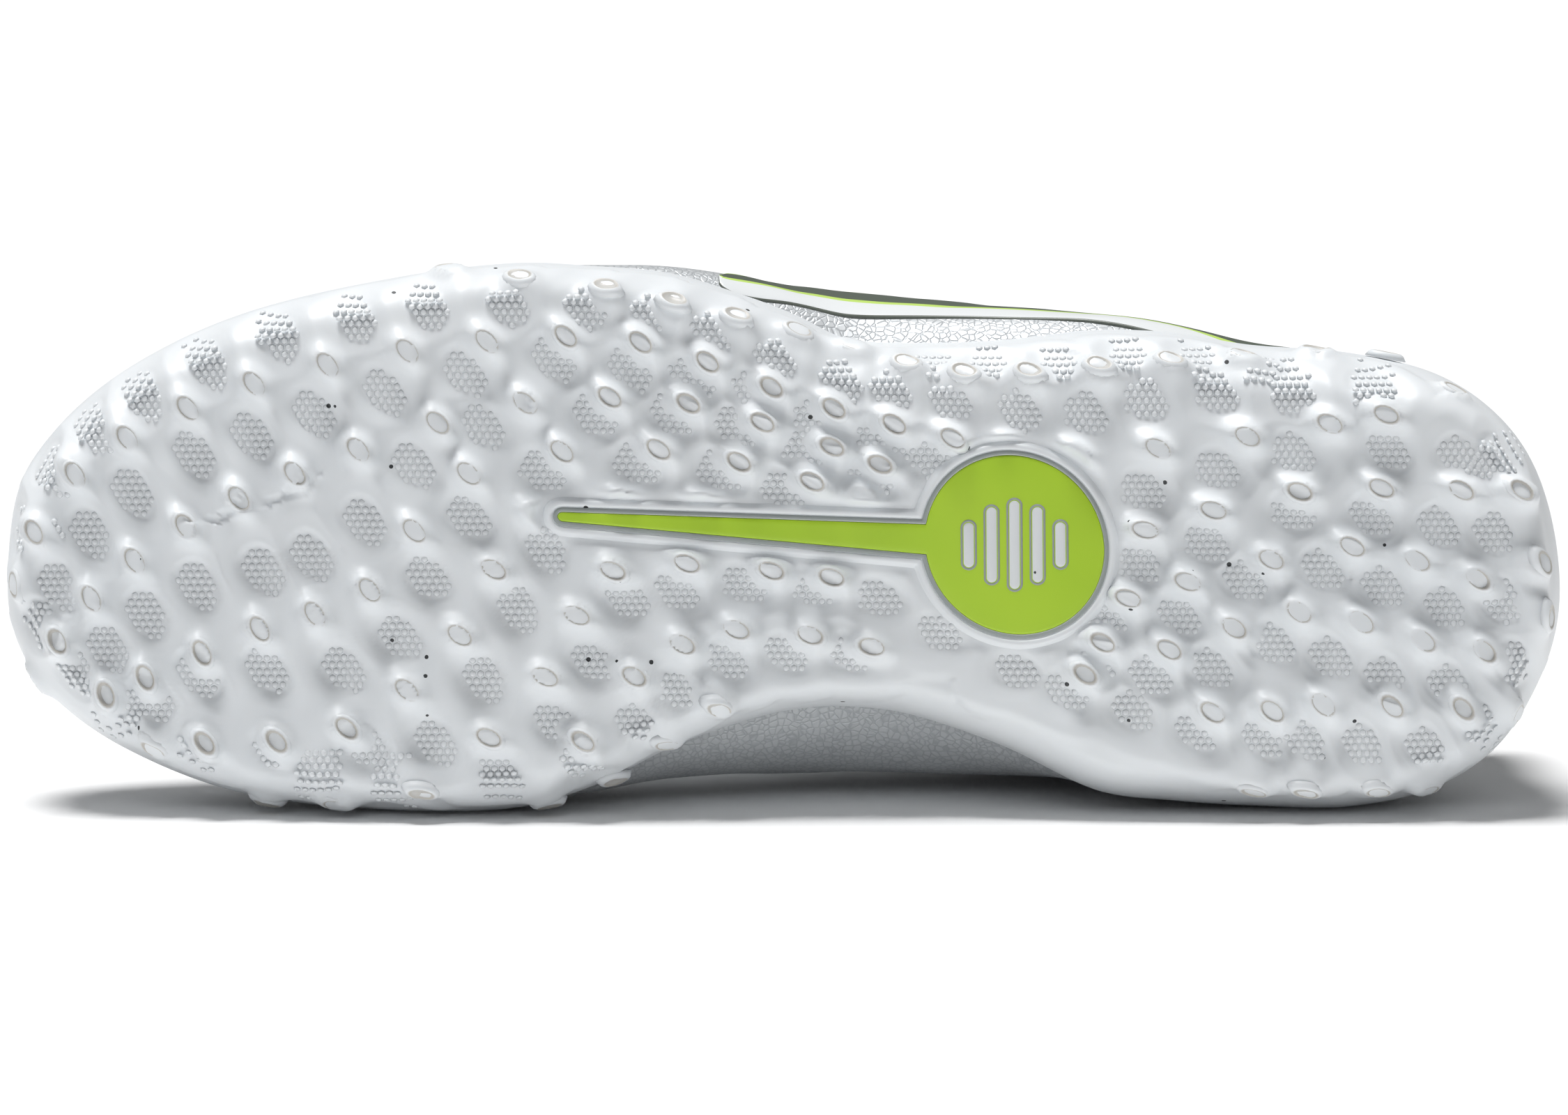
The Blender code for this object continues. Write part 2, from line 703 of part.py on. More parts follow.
def lace_place(start_way, end_way, share, lift):
    """Place on a lace that runs from an outer eyelet (share 0) to an inner one (share 1)."""
    way = start_way + (end_way - start_way) * share
    if share <= THROAT_SHARE:
        return over_upper(way, EYELET_RISE + (1 - EYELET_RISE) * share / THROAT_SHARE, lift)
    if share >= 1 - THROAT_SHARE:
        return over_upper(-way, EYELET_RISE + (1 - EYELET_RISE) * (1 - share) / THROAT_SHARE, lift)
    across = (share - THROAT_SHARE) / (1 - 2 * THROAT_SHARE)
    outer, outer_normal = over_upper(way, 1.0, lift)
    inner, inner_normal = over_upper(-way, 1.0, lift)
    dip = Vector((0, 0, LACE_DIP * 4 * across * (1 - across)))
    return outer.lerp(inner, across) - dip, outer_normal.lerp(inner_normal, across).normalized()


def lace_mesh(start_way, end_way, lift):
    """Flat bar from eyelet to eyelet that follows the facing and crosses over the tongue."""
    mesh = bmesh.new()
    shares = (0.0, THROAT_SHARE, 0.5, 1 - THROAT_SHARE, 1.0)
    places = [lace_place(start_way, end_way, share, lift) for share in shares]
    sections = []
    for index, (point, normal) in enumerate(places):
        run = places[min(index + 1, len(places) - 1)][0] - places[max(index - 1, 0)][0]
        side = run.cross(normal).normalized() * LACE_WIDTH / 2
        top = normal * LACE_THICKNESS
        corners = (point - side, point + side, point + side + top, point - side + top)
        sections.append([mesh.verts.new(corner) for corner in corners])
    fill_rings(mesh, sections)
    mesh.faces.new(sections[0])
    mesh.faces.new(sections[-1])
    bmesh.ops.triangulate(mesh, faces=mesh.faces)
    return mesh


def build_laces():
    """Crossed bars over a straight one, each lifted a little so that no two faces are level."""
    first = lace_mesh(eyelet_way(0), eyelet_way(0), LACE_LIFT)
    laces = add_mesh_object("laces", first, (0.82, 0.84, 0.82), 0.8)
    for number in range(EYELET_PAIRS - 1):
        here, after = eyelet_way(number), eyelet_way(number + 1)
        lift = LACE_LIFT + LACE_STEP * (1 + number % 2)
        for name, start, end, over in (("outer", here, after, 0), ("inner", after, here, 2)):
            bar = add_cutter("lace_%s_%d" % (name, number), lace_mesh(start, end, lift + LACE_STEP * over))
            add_boolean(laces, bar, 'UNION')


# Lay the shoe down

def centre_of_volume(objects):
    """Sum over the pyramids between the origin and each triangle."""
    graph = bpy.context.evaluated_depsgraph_get()
    volume, moment = 0.0, Vector()
    for shoe in objects:
        shell = shoe.evaluated_get(graph).to_mesh()
        shell.calc_loop_triangles()
        for triangle in shell.loop_triangles:
            first, second, third = [shell.vertices[index].co for index in triangle.vertices]
            pyramid = first.dot(second.cross(third)) / 6
            volume += pyramid
            moment += pyramid * (first + second + third) / 4
    return moment / volume


def resting_rotation(objects):
    """Turn that puts the shoe's inner side on the floor, on three points of its hull."""
    graph = bpy.context.evaluated_depsgraph_get()
    cloud = bmesh.new()
    for shoe in objects:
        shell = shoe.evaluated_get(graph).to_mesh()
        for vertex in shell.vertices:
            cloud.verts.new(shoe.matrix_world @ vertex.co)
    bmesh.ops.convex_hull(cloud, input=cloud.verts)
    cloud.normal_update()
    centre = centre_of_volume(objects)
    best = None
    for face in cloud.faces:
        if face.normal.y < 0.8:
            continue
        plane = face.calc_center_median()
        onto = centre + face.normal * (plane - centre).dot(face.normal)
        edges = [(face.verts[index].co, face.verts[(index + 1) % 3].co) for index in range(3)]
        inside = min((end - start).cross(onto - start).dot(face.normal) for start, end in edges)
        if best is None or inside > best[0]:
            best = (inside, face.normal.copy())
    cloud.free()
    return best[1].rotation_difference(Vector((0, 0, -1))).to_matrix().to_4x4()


def lay_down(objects):
    """Rotate the shoe onto its side and stand its box on the origin."""
    pose = resting_rotation(objects)
    toe = pose @ Vector((-1, 0, 0))
    level = Matrix.Rotation(math.atan2(toe.y, -toe.x), 4, 'Z')
    pose = level @ pose
    graph = bpy.context.evaluated_depsgraph_get()
    corners = []
    for shoe in objects:
        shell = shoe.evaluated_get(graph).to_mesh()
        corners.extend(pose @ vertex.co for vertex in shell.vertices)
    low = Vector([min(corner[axis] for corner in corners) for axis in range(3)])
    high = Vector([max(corner[axis] for corner in corners) for axis in range(3)])
    ground = Vector((-(low.x + high.x) / 2, -(low.y + high.y) / 2, -low.z))
    lying = bpy.data.objects.new("lying", None)
    bpy.context.scene.collection.objects.link(lying)
    lying.matrix_world = Matrix.Translation(ground) @ pose
    for shoe in objects:
        shoe.parent = lying


for old in list(bpy.data.objects):
    bpy.data.objects.remove(old, do_unlink=True)
parts = bpy.data.collections.new("turf_shoe")
cutters = bpy.data.collections.new("cutters")
bpy.context.scene.collection.children.link(parts)
bpy.context.scene.collection.children.link(cutters)

build_outsole()
build_inlay()
add_mesh_object("midsole", ring_loft(foam_section), (0.85, 0.85, 0.83), 0.7)
add_mesh_object("insole", ring_loft(insole_section), (0.30, 0.32, 0.33), 0.85)
build_upper()
build_tongue()
build_eyestay()
build_laces()
bpy.context.view_layer.update()
shoe_objects = list(parts.objects)
lay_down(shoe_objects)
for tool in cutters.objects:
    tool.parent = bpy.data.objects["lying"]
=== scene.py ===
"""Looks of a left turf shoe that lies on its inner side with its sole to the camera.

Upright, the toe points to -X, the outer side to -Y and the top to +Z. Places on the shoe are shares
of the way round it: 0 is the toe tip, 0.25 the outer side, 0.5 the heel and 0.75 the inner side.
"""
import json
import math

import bpy
import numpy as np
from mathutils import Matrix, Vector


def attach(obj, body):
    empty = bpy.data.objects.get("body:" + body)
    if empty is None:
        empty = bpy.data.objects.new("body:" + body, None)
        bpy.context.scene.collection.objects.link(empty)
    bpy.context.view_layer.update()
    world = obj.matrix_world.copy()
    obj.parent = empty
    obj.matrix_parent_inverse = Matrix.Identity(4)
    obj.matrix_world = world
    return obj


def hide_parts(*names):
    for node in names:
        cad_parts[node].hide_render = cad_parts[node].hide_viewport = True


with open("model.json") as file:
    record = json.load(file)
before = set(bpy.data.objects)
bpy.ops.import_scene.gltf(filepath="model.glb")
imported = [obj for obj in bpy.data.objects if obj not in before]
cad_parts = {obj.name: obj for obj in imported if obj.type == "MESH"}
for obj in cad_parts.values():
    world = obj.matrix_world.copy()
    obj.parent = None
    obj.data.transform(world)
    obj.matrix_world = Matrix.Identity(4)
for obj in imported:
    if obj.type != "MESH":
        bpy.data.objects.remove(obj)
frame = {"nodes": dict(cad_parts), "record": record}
bpy.ops.object.select_all(action='DESELECT')
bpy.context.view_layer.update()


# Camera
# A long lens 1.4 metres away, square to the sole as in a catalogue picture. The tip of a forefoot
# stud in the frame gives the way that the sole of the lying shoe faces.
MM = 0.001
LENGTH = 290 * MM
BALL_WIDTH = 104 * MM
CAMERA_DISTANCE = 1.40
PICTURE_WIDTH = 290.5 * MM
SOLE_PLANE = 16 * MM
GROUND_STUD = next(mount for mount in frame["record"]["mounts"] if mount["name"] == "forefoot_stud")

shoe_up = -Vector(GROUND_STUD["axis"]).normalized()
shoe_back = Vector((1, 0, -shoe_up.x / shoe_up.z)).normalized()
shoe_in = shoe_up.cross(shoe_back)
lying = Matrix((shoe_back, shoe_in, shoe_up)).transposed().to_4x4()
STUD_ALONG, STUD_ACROSS = 0.338, 0.260
STUD_TIP_HEIGHT = 0.02 * MM
PICTURE_DROP = 1.5 * MM
stud_tip = Vector(((STUD_ALONG - 0.5) * LENGTH, -STUD_ACROSS * BALL_WIDTH, STUD_TIP_HEIGHT))
lying.translation = Vector(GROUND_STUD["pos_m"]) - lying.to_3x3() @ stud_tip

camera = bpy.data.cameras.new("camera")
camera.lens = camera.sensor_width * CAMERA_DISTANCE / PICTURE_WIDTH
camera.clip_start = 0.05
viewer = bpy.data.objects.new("camera", camera)
bpy.context.scene.collection.objects.link(viewer)
aim = lying @ Vector((0.0003, 0.0, SOLE_PLANE))
viewer.rotation_euler = (-shoe_up).to_track_quat('Z', 'Y').to_euler()
viewer.location = aim - shoe_up * CAMERA_DISTANCE
viewer.location += (viewer.rotation_euler.to_matrix() @ Vector((0, -1, 0))) * PICTURE_DROP
bpy.context.scene.camera = viewer


# Studio
# A white paper sweep lit from a big soft box above, a little to the left and behind, with weak light
# from the front. The paper is bright enough to be pure white in the picture.
def linear_colour(code):
    """A screen colour such as #AECB3A as the linear values that shaders use."""
    parts = [int(code[index:index + 2], 16) / 255 for index in (1, 3, 5)]
    return (*[part / 12.92 if part <= 0.04045 else ((part + 0.055) / 1.055) ** 2.4 for part in parts], 1)


def add_node(material, kind, inputs=None, **settings):
    """One shader node with its settings; an input is a value or another node's output."""
    node = material.node_tree.nodes.new(kind)
    for name, value in settings.items():
        setattr(node, name, value)
    for name, value in (inputs or {}).items():
        if isinstance(value, bpy.types.NodeSocket):
            material.node_tree.links.new(value, node.inputs[name])
        else:
            node.inputs[name].default_value = value
    return node


def add_material(name):
    """An empty material and its main shader node."""
    material = bpy.data.materials.new(name)
    material.use_nodes = True
    return material, material.node_tree.nodes["Principled BSDF"]


def add_light(name, place, strength, spread, colour):
    """A far, wide light that falls evenly from a place over the shoe."""
    lamp = bpy.data.lights.new(name, 'SUN')
    lamp.energy = strength
    lamp.angle = math.radians(spread)
    lamp.color = linear_colour(colour)[:3]
    holder = bpy.data.objects.new(name, lamp)
    bpy.context.scene.collection.objects.link(holder)
    holder.location = place
    holder.rotation_euler = Vector(place).to_track_quat('Z', 'Y').to_euler()


add_light("softbox_above", (-0.16, 0.05, 1.0), 3.3, 24, "#FFFFFF")
add_light("softbox_front", (-0.3, -1.0, 0.30), 0.16, 50, "#EEF4FF")
bpy.context.scene.view_settings.view_transform = 'Standard'
studio = bpy.data.worlds.new("studio")
bpy.context.scene.world = studio
studio.use_nodes = True
studio.node_tree.nodes["Background"].inputs["Color"].default_value = (1, 1, 1, 1)
studio.node_tree.nodes["Background"].inputs["Strength"].default_value = 0.14

bpy.ops.mesh.primitive_plane_add(size=8)
floor = bpy.context.object
floor.name = "floor"
paper, paper_shader = add_material("white paper sweep")
paper_shader.inputs["Base Color"].default_value = linear_colour("#FAFAFA")
paper_shader.inputs["Roughness"].default_value = 0.9
floor.data.materials.append(paper)


# Outsole
# White rubber cup, moulded in one piece: cells with pebbles lie between soft ridges, and oval studs
# with hollow tips stand on the ridges. Its side wall flares out and stands up round the upper.
STUD_HEIGHT = 3 * MM
TOE_SPRING = 11 * MM
HEEL_SPRING = 3 * MM
ARCH_LIFT = 4 * MM
CUP_HEIGHT = 24 * MM
CUP_WALL = 2.4 * MM
CUP_FLOOR = 3 * MM
FOREFOOT_FOAM = 4 * MM
HEEL_FOAM = 12 * MM
FLARE_POWER = 2.2
GAP = 0.3 * MM

# Share of the length from the toe, outer and inner edge of the rim as shares of the width
OUTLINE = (
    (0.000, -0.056, -0.056), (0.006, 0.100, -0.155), (0.030, 0.215, -0.258), (0.080, 0.331, -0.355),
    (0.155, 0.427, -0.432), (0.255, 0.490, -0.463), (0.330, 0.514, -0.458), (0.380, 0.508, -0.418),
    (0.430, 0.494, -0.350), (0.480, 0.451, -0.302), (0.510, 0.418, -0.285), (0.540, 0.378, -0.281),
    (0.580, 0.368, -0.295), (0.640, 0.372, -0.352), (0.700, 0.389, -0.432), (0.750, 0.384, -0.452),
    (0.800, 0.362, -0.462), (0.860, 0.349, -0.466), (0.920, 0.310, -0.430), (0.960, 0.236, -0.355),
    (0.985, 0.136, -0.248), (1.000, -0.074, -0.074),
)
# Way round, inset of the tread's edge as a share of the width, height as a share of the cup's
SIDE_WALL = (
    (0.00, 0.055, 0.80), (0.10, 0.052, 0.72), (0.18, 0.052, 0.70), (0.24, 0.058, 0.74),
    (0.27, 0.072, 0.66), (0.31, 0.080, 0.66), (0.36, 0.074, 0.78), (0.42, 0.058, 0.95),
    (0.50, 0.050, 1.00), (0.58, 0.050, 0.95), (0.64, 0.050, 0.82), (0.70, 0.052, 0.68),
    (0.75, 0.040, 0.64), (0.80, 0.050, 0.64), (0.86, 0.050, 0.68), (0.93, 0.052, 0.74),
)


def soft_step(low, high, value):
    """Rise from 0 at low to 1 at high with no corner."""
    share = np.clip((value - low) / (high - low), 0.0, 1.0)
    return share * share * (3 - 2 * share)


def hermite(knots, values, place):
    """Smooth curve between the two middle ones of four knots."""
    span = knots[..., 2] - knots[..., 1]
    share = ((place - knots[..., 1]) / span)[..., None]
    start, end = values[..., 1, :], values[..., 2, :]
    leave = (end - values[..., 0, :]) * (span / (knots[..., 2] - knots[..., 0]))[..., None]
    arrive = (values[..., 3, :] - start) * (span / (knots[..., 3] - knots[..., 1]))[..., None]
    square, cube = share ** 2, share ** 3
    return ((2 * cube - 3 * square + 1) * start + (cube - 2 * square + share) * leave
            + (3 * square - 2 * cube) * end + (cube - square) * arrive)


def read_round(rows, way):
    """Rows whose first value is the way round the shoe, read smoothly through their seam."""
    rows, way = np.asarray(rows), np.mod(way, 1.0)
    near = (np.searchsorted(rows[:, 0], way, side='right') - 1)[..., None] + np.array((-1, 0, 1, 2))
    knots = rows[near % len(rows), 0] + near // len(rows)
    return hermite(knots, rows[near % len(rows), 1:], way)


def read_along(rows, place):
    """Rows whose first value runs along the piece, read smoothly between its two ends."""
    rows, place = np.asarray(rows, float), np.asarray(place, float)
    first = np.concatenate(([2 * rows[0, 0] - rows[1, 0]], rows[0, 1:]))
    final = np.concatenate(([2 * rows[-1, 0] - rows[-2, 0]], rows[-1, 1:]))
    padded = np.vstack((first, rows, final))
    here = np.clip(np.searchsorted(rows[:, 0], place, side='right') - 1, 0, len(rows) - 2)
    near = here[..., None] + np.arange(4)
    return hermite(padded[near, 0], padded[near, 1:], place)


def way_from_along(along):
    """Way round, on the outer side, of a share of the length."""
    return np.arccos(1 - 2 * np.asarray(along)) / (2 * np.pi)


RIM = sorted([(float(way_from_along(along)), outer) for along, outer, inner in OUTLINE]
             + [(1 - float(way_from_along(along)), inner) for along, outer, inner in OUTLINE[1:-1]])


def plan_point(along, across):
    """Shares of the length and the width to a point of the plan."""
    return np.stack(((along - 0.5) * LENGTH, -across * BALL_WIDTH), -1)


def rim_plan(way):
    return plan_point((1 - np.cos(2 * np.pi * way)) / 2, read_round(RIM, way)[..., 0])


def rim_point(way, inset=0.0):
    """Point of the rim's outline in plan, moved inward by the inset."""
    direction = rim_plan(way + 0.002) - rim_plan(way - 0.002)
    direction /= np.linalg.norm(direction, axis=-1, keepdims=True)
    inward = np.stack((-direction[..., 1], direction[..., 0]), -1)
    return rim_plan(way) + np.asarray(inset)[..., None] * inward


def outward(way):
    """Level unit vector that points away from the shoe."""
    away = rim_point(way) - rim_point(way, MM)
    away /= np.linalg.norm(away, axis=-1, keepdims=True)
    return np.concatenate((away, np.zeros(away.shape[:-1] + (1,))), -1)


def spine_point(way):
    """Point of the sole's middle line that belongs to a place on the rim."""
    along = 0.5 - 0.36 * np.cos(2 * np.pi * way)
    side = way_from_along(along)
    middle = (read_round(RIM, side)[..., 0] + read_round(RIM, 1 - side)[..., 0]) / 2
    return plan_point(along, middle)


def tread_base(plan):
    """Height of the rubber between the studs over a point of the plan."""
    along = plan[..., 0] / LENGTH + 0.5
    across = -plan[..., 1] / BALL_WIDTH
    toe = TOE_SPRING * np.maximum(0.0, (0.32 - along) / 0.32) ** 2
    heel = HEEL_SPRING * np.maximum(0.0, (along - 0.84) / 0.16) ** 2
    arch = ARCH_LIFT * np.exp(-((along - 0.55) / 0.11) ** 2) * (1 - 0.75 * soft_step(-0.3, 0.3, across))
    return STUD_HEIGHT + toe + heel + arch


def foam_height(plan):
    """Height of the midsole's top over a point of the plan."""
    along = plan[..., 0] / LENGTH + 0.5
    foam = FOREFOOT_FOAM + (HEEL_FOAM - FOREFOOT_FOAM) * soft_step(0.35, 0.75, along)
    return tread_base(plan) + CUP_FLOOR + foam


def wall_inset(way, rise):
    """How far the cup's outer face lies inside the rim, at a share of the side wall's height."""
    return read_round(SIDE_WALL, way)[..., 0] * BALL_WIDTH * (1 - rise) ** FLARE_POWER


def rim_rise(way):
    return read_round(SIDE_WALL, way)[..., 1] * CUP_HEIGHT


def raised(plan, height):
    return np.concatenate((plan, np.asarray(height)[..., None]), -1)


def wall_point(way, rise, inward=0.0):
    """Point of the side wall, or one moved straight inward from it."""
    foot = tread_base(rim_point(way, wall_inset(way, 0)))
    return raised(rim_point(way, wall_inset(way, rise) + inward), foot + rise * rim_rise(way))


def floor_point(way, inset, share, height):
    """Point between the side wall (share 0) and the middle line (share 1), at height(point)."""
    plan = rim_point(way, inset)
    plan = plan + (spine_point(way) - plan) * share
    return raised(plan, height(plan))


def foot_share(way, height):
    return np.minimum(height / rim_rise(way), 0.9)


def foam_edge_inset(way):
    """Inset of the cup's inner face where the upper's foot stands."""
    foot = rim_point(way, wall_inset(way, 0.3) + CUP_WALL)
    return wall_inset(way, foot_share(way, foam_height(foot) - tread_base(foot))) + CUP_WALL


def rim_place(plan):
    """Way round and inset of points of the plan, from the nearest point of the rim."""
    samples = np.arange(900) / 900
    outline = rim_plan(samples)
    ways, insets = [], []
    for point in plan.reshape(-1, 2):
        nearest = np.argmin(np.sum((outline - point) ** 2, -1))
        fine = samples[nearest] + np.arange(-10, 11) / 9000
        outline_near = rim_plan(fine)
        gaps = np.linalg.norm(outline_near - point, axis=-1)
        best = np.argmin(gaps)
        beyond = np.linalg.norm(point - spine_point(fine[best])) > np.linalg.norm(
            outline_near[best] - spine_point(fine[best]))
        ways.append(fine[best])
        insets.append(-gaps[best] if beyond else gaps[best])
    return np.array(ways), np.array(insets)


def sole_place(plan):
    """Points of the sole's outer face under points of the plan, and its outward directions."""
    way, inset = rim_place(plan)
    roll = wall_inset(way, 0)
    rise = 1 - (np.clip(inset, 0.0, roll) / roll) ** (1 / FLARE_POWER)
    under = inset >= roll
    point = wall_point(way, rise)
    point[under] = raised(plan[under], tread_base(plan[under]))
    lean = FLARE_POWER * roll * (1 - rise) ** (FLARE_POWER - 1)
    normal = outward(way) * rim_rise(way)[:, None]
    normal[:, 2] = -lean
    normal /= np.linalg.norm(normal, axis=-1, keepdims=True)
    ease = soft_step(0.0, 2.5 * MM, inset - roll)[:, None]
    normal = normal * (1 - ease) + np.array((0, 0, -1)) * ease
    normal /= np.linalg.norm(normal, axis=-1, keepdims=True)
    return point, normal


def lay_points(points):
    """Points of the upright shoe to the frame in which it lies, pressed flat where they meet the floor."""
    turn = np.array(lying)
    laid = points @ turn[:3, :3].T + turn[:3, 3]
    laid[..., 2] = np.maximum(laid[..., 2], 0.0)
    return laid


def wrap_sheet(name, points):
    """A grid primitive whose rows of corners go to the given points of the upright shoe."""
    points = np.asarray(points, float)
    rows, columns = points.shape[:2]
    bpy.ops.mesh.primitive_grid_add(x_subdivisions=columns - 1, y_subdivisions=rows - 1, size=1)
    piece = bpy.context.object
    piece.name = name
    piece.data.name = name
    piece.data.vertices.foreach_set("co", lay_points(points).astype(np.float32).ravel())
    piece.data.update()
    return piece


def sew(piece, distance=0.02 * MM, outside=False):
    """Merge the corners that meet, and turn the faces outward on a closed piece."""
    bpy.ops.object.select_all(action='DESELECT')
    piece.select_set(True)
    bpy.context.view_layer.objects.active = piece
    bpy.ops.object.mode_set(mode='EDIT')
    bpy.ops.mesh.select_all(action='SELECT')
    bpy.ops.mesh.remove_doubles(threshold=distance)
    if outside:
        bpy.ops.mesh.normals_make_consistent(inside=False)
    bpy.ops.object.mode_set(mode='OBJECT')
    bpy.ops.object.shade_smooth()


def finish_piece(piece, material, slot, *nodes):
    """Give a piece its material and its body, and hide the CAD nodes that it stands for; slot is not used."""
    piece.data.materials.clear()
    piece.data.materials.append(material)
    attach(piece, "root")
    if nodes:
        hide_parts(*nodes)


# For some of a row's studs its number, the place as shares of the length and the width
STUD_ROWS = {
    "side": ((0, 0.289, 0.489), (2, 0.389, 0.458), (5, 0.509, 0.378), (8, 0.616, 0.304),
             (11, 0.746, 0.322), (14, 0.887, 0.335), (15, 0.927, 0.269)),
    "outer": ((0, 0.014, -0.056), (2, 0.051, 0.139), (5, 0.166, 0.297), (8, 0.314, 0.369),
              (10, 0.411, 0.366), (13, 0.533, 0.248), (17, 0.687, 0.167), (21, 0.882, 0.232)),
    "second": ((0, 0.024, -0.217), (2, 0.061, -0.081), (4, 0.122, 0.046), (7, 0.232, 0.180),
               (9, 0.338, 0.260), (11, 0.441, 0.258), (14, 0.562, 0.149)),
    "third": ((0, 0.070, -0.252), (3, 0.169, -0.136), (5, 0.239, -0.068), (7, 0.302, 0.136),
              (9, 0.422, 0.177), (12, 0.551, 0.093)),
    "fourth": ((0, 0.101, -0.338), (3, 0.224, -0.312), (5, 0.296, -0.149), (7, 0.344, 0.064),
               (9, 0.451, 0.081)),
    "fifth": ((0, 0.171, -0.434), (2, 0.271, -0.415), (4, 0.350, -0.223), (6, 0.393, -0.037),
              (9, 0.531, -0.050)),
    "inner": ((0, 0.349, -0.440), (2, 0.406, -0.223), (4, 0.471, -0.142), (6, 0.556, -0.173)),
    "arch": ((0, 0.391, -0.400), (2, 0.458, -0.270)),
    "heel outer": ((0, 0.729, 0.031), (2, 0.827, 0.097), (5, 0.965, 0.095)),
    "heel second": ((0, 0.718, -0.089), (3, 0.860, 0.000), (5, 0.940, -0.059), (6, 0.978, -0.031)),
    "heel third": ((0, 0.702, -0.167), (1, 0.744, -0.180), (3, 0.826, -0.115), (6, 0.944, -0.186),
                   (7, 0.982, -0.124)),
    "heel fourth": ((0, 0.691, -0.223), (1, 0.771, -0.291), (3, 0.841, -0.279), (6, 0.962, -0.291)),
    "heel inner": ((0, 0.798, -0.421), (3, 0.909, -0.420)),
}
# How the long axis of a row's studs leans to the shoe's length, in degrees, at its two ends
STUD_LEANS = {
    "side": (50, 20), "outer": (58, 25), "second": (66, 25), "third": (70, 25), "fourth": (55, 20),
    "fifth": (30, 20), "inner": (40, 15), "arch": (50, 40), "heel outer": (15, 35),
    "heel second": (20, 40), "heel third": (30, 45), "heel fourth": (35, 50), "heel inner": (40, 55),
}
STUD_HALF_LENGTH = 2.8 * MM
STUD_HALF_WIDTH = 1.75 * MM
SIDE_STUD_SHARE = 0.45

stud_plans, stud_leans = [], []
for row_name, row in STUD_ROWS.items():
    numbers = np.arange(row[-1][0] + 1)
    places = read_along(row, numbers)
    stud_plans.append(plan_point(places[:, 0], places[:, 1]))
    low_lean, high_lean = STUD_LEANS[row_name]
    stud_leans.append(low_lean + (high_lean - low_lean) * numbers / numbers[-1])
stud_plans = np.concatenate(stud_plans)
stud_leans = np.concatenate(stud_leans)
stud_points, stud_normals = sole_place(stud_plans)
stud_heights = STUD_HEIGHT * (SIDE_STUD_SHARE + (1 - SIDE_STUD_SHARE) * stud_normals[:, 2] ** 4)

# The cells' rows: places as shares of the length and the width
CELL_ROWS = {
    "rim": ((0.009, 0.043), (0.028, 0.164), (0.056, 0.242), (0.090, 0.297), (0.132, 0.353), (0.180, 0.397),
            (0.230, 0.415), (0.276, 0.434), (0.327, 0.434), (0.376, 0.427), (0.418, 0.415), (0.456, 0.384),
            (0.496, 0.335), (0.538, 0.297), (0.569, 0.279), (0.607, 0.260), (0.651, 0.242), (0.693, 0.235),
            (0.731, 0.260), (0.776, 0.273), (0.824, 0.279), (0.876, 0.291)),
    "waist": ((0.596, 0.341), (0.631, 0.328), (0.676, 0.326), (0.720, 0.341), (0.764, 0.341), (0.804, 0.344)),
    "outer": ((0.060, 0.031), (0.087, 0.105), (0.127, 0.173), (0.164, 0.204), (0.204, 0.242), (0.249, 0.279),
              (0.300, 0.310), (0.356, 0.335), (0.404, 0.316), (0.444, 0.297), (0.484, 0.273), (0.524, 0.223),
              (0.564, 0.186), (0.598, 0.149)),
    "heel outer": ((0.729, 0.099), (0.776, 0.136), (0.824, 0.164), (0.884, 0.167), (0.929, 0.155),
                   (0.956, 0.161)),
    "second": ((0.028, -0.130), (0.039, -0.062), (0.096, -0.112), (0.129, -0.062), (0.171, -0.037),
               (0.202, -0.012), (0.236, 0.050), (0.267, 0.149), (0.311, 0.217), (0.382, 0.235),
               (0.431, 0.235), (0.471, 0.211), (0.516, 0.167), (0.556, 0.124)),
    "heel second": ((0.727, -0.031), (0.769, 0.006), (0.824, 0.062), (0.873, 0.050), (0.916, 0.031),
                    (0.951, 0.019)),
    "third": ((0.050, -0.217), (0.071, -0.173), (0.100, -0.260), (0.129, -0.217), (0.173, -0.211),
              (0.222, -0.211), (0.258, -0.155), (0.276, -0.050), (0.302, 0.056), (0.349, 0.136),
              (0.409, 0.149), (0.462, 0.136), (0.502, 0.105)),
    "heel third": ((0.704, -0.130), (0.751, -0.124), (0.793, -0.062), (0.842, -0.043), (0.880, -0.074),
                   (0.920, -0.112), (0.956, -0.099)),
    "fourth": ((0.076, -0.285), (0.129, -0.347), (0.178, -0.353), (0.236, -0.347), (0.280, -0.341),
               (0.311, -0.229), (0.333, -0.105), (0.351, 0.000)),
    "heel fourth": ((0.696, -0.211), (0.733, -0.229), (0.771, -0.217), (0.811, -0.173), (0.847, -0.198),
                    (0.882, -0.235), (0.922, -0.248), (0.964, -0.211)),
    "fifth": ((0.204, -0.452), (0.253, -0.458), (0.322, -0.409), (0.356, -0.304), (0.380, -0.198),
              (0.402, -0.087), (0.433, -0.074), (0.476, -0.062), (0.520, -0.068), (0.562, -0.087)),
    "heel fifth": ((0.680, -0.254), (0.722, -0.291), (0.762, -0.328), (0.804, -0.341), (0.831, -0.347),
                   (0.867, -0.353), (0.907, -0.359), (0.942, -0.322)),
    "inner": ((0.378, -0.403), (0.407, -0.310), (0.431, -0.248), (0.464, -0.198), (0.502, -0.186),
              (0.542, -0.186), (0.600, -0.149), (0.649, -0.217)),
}
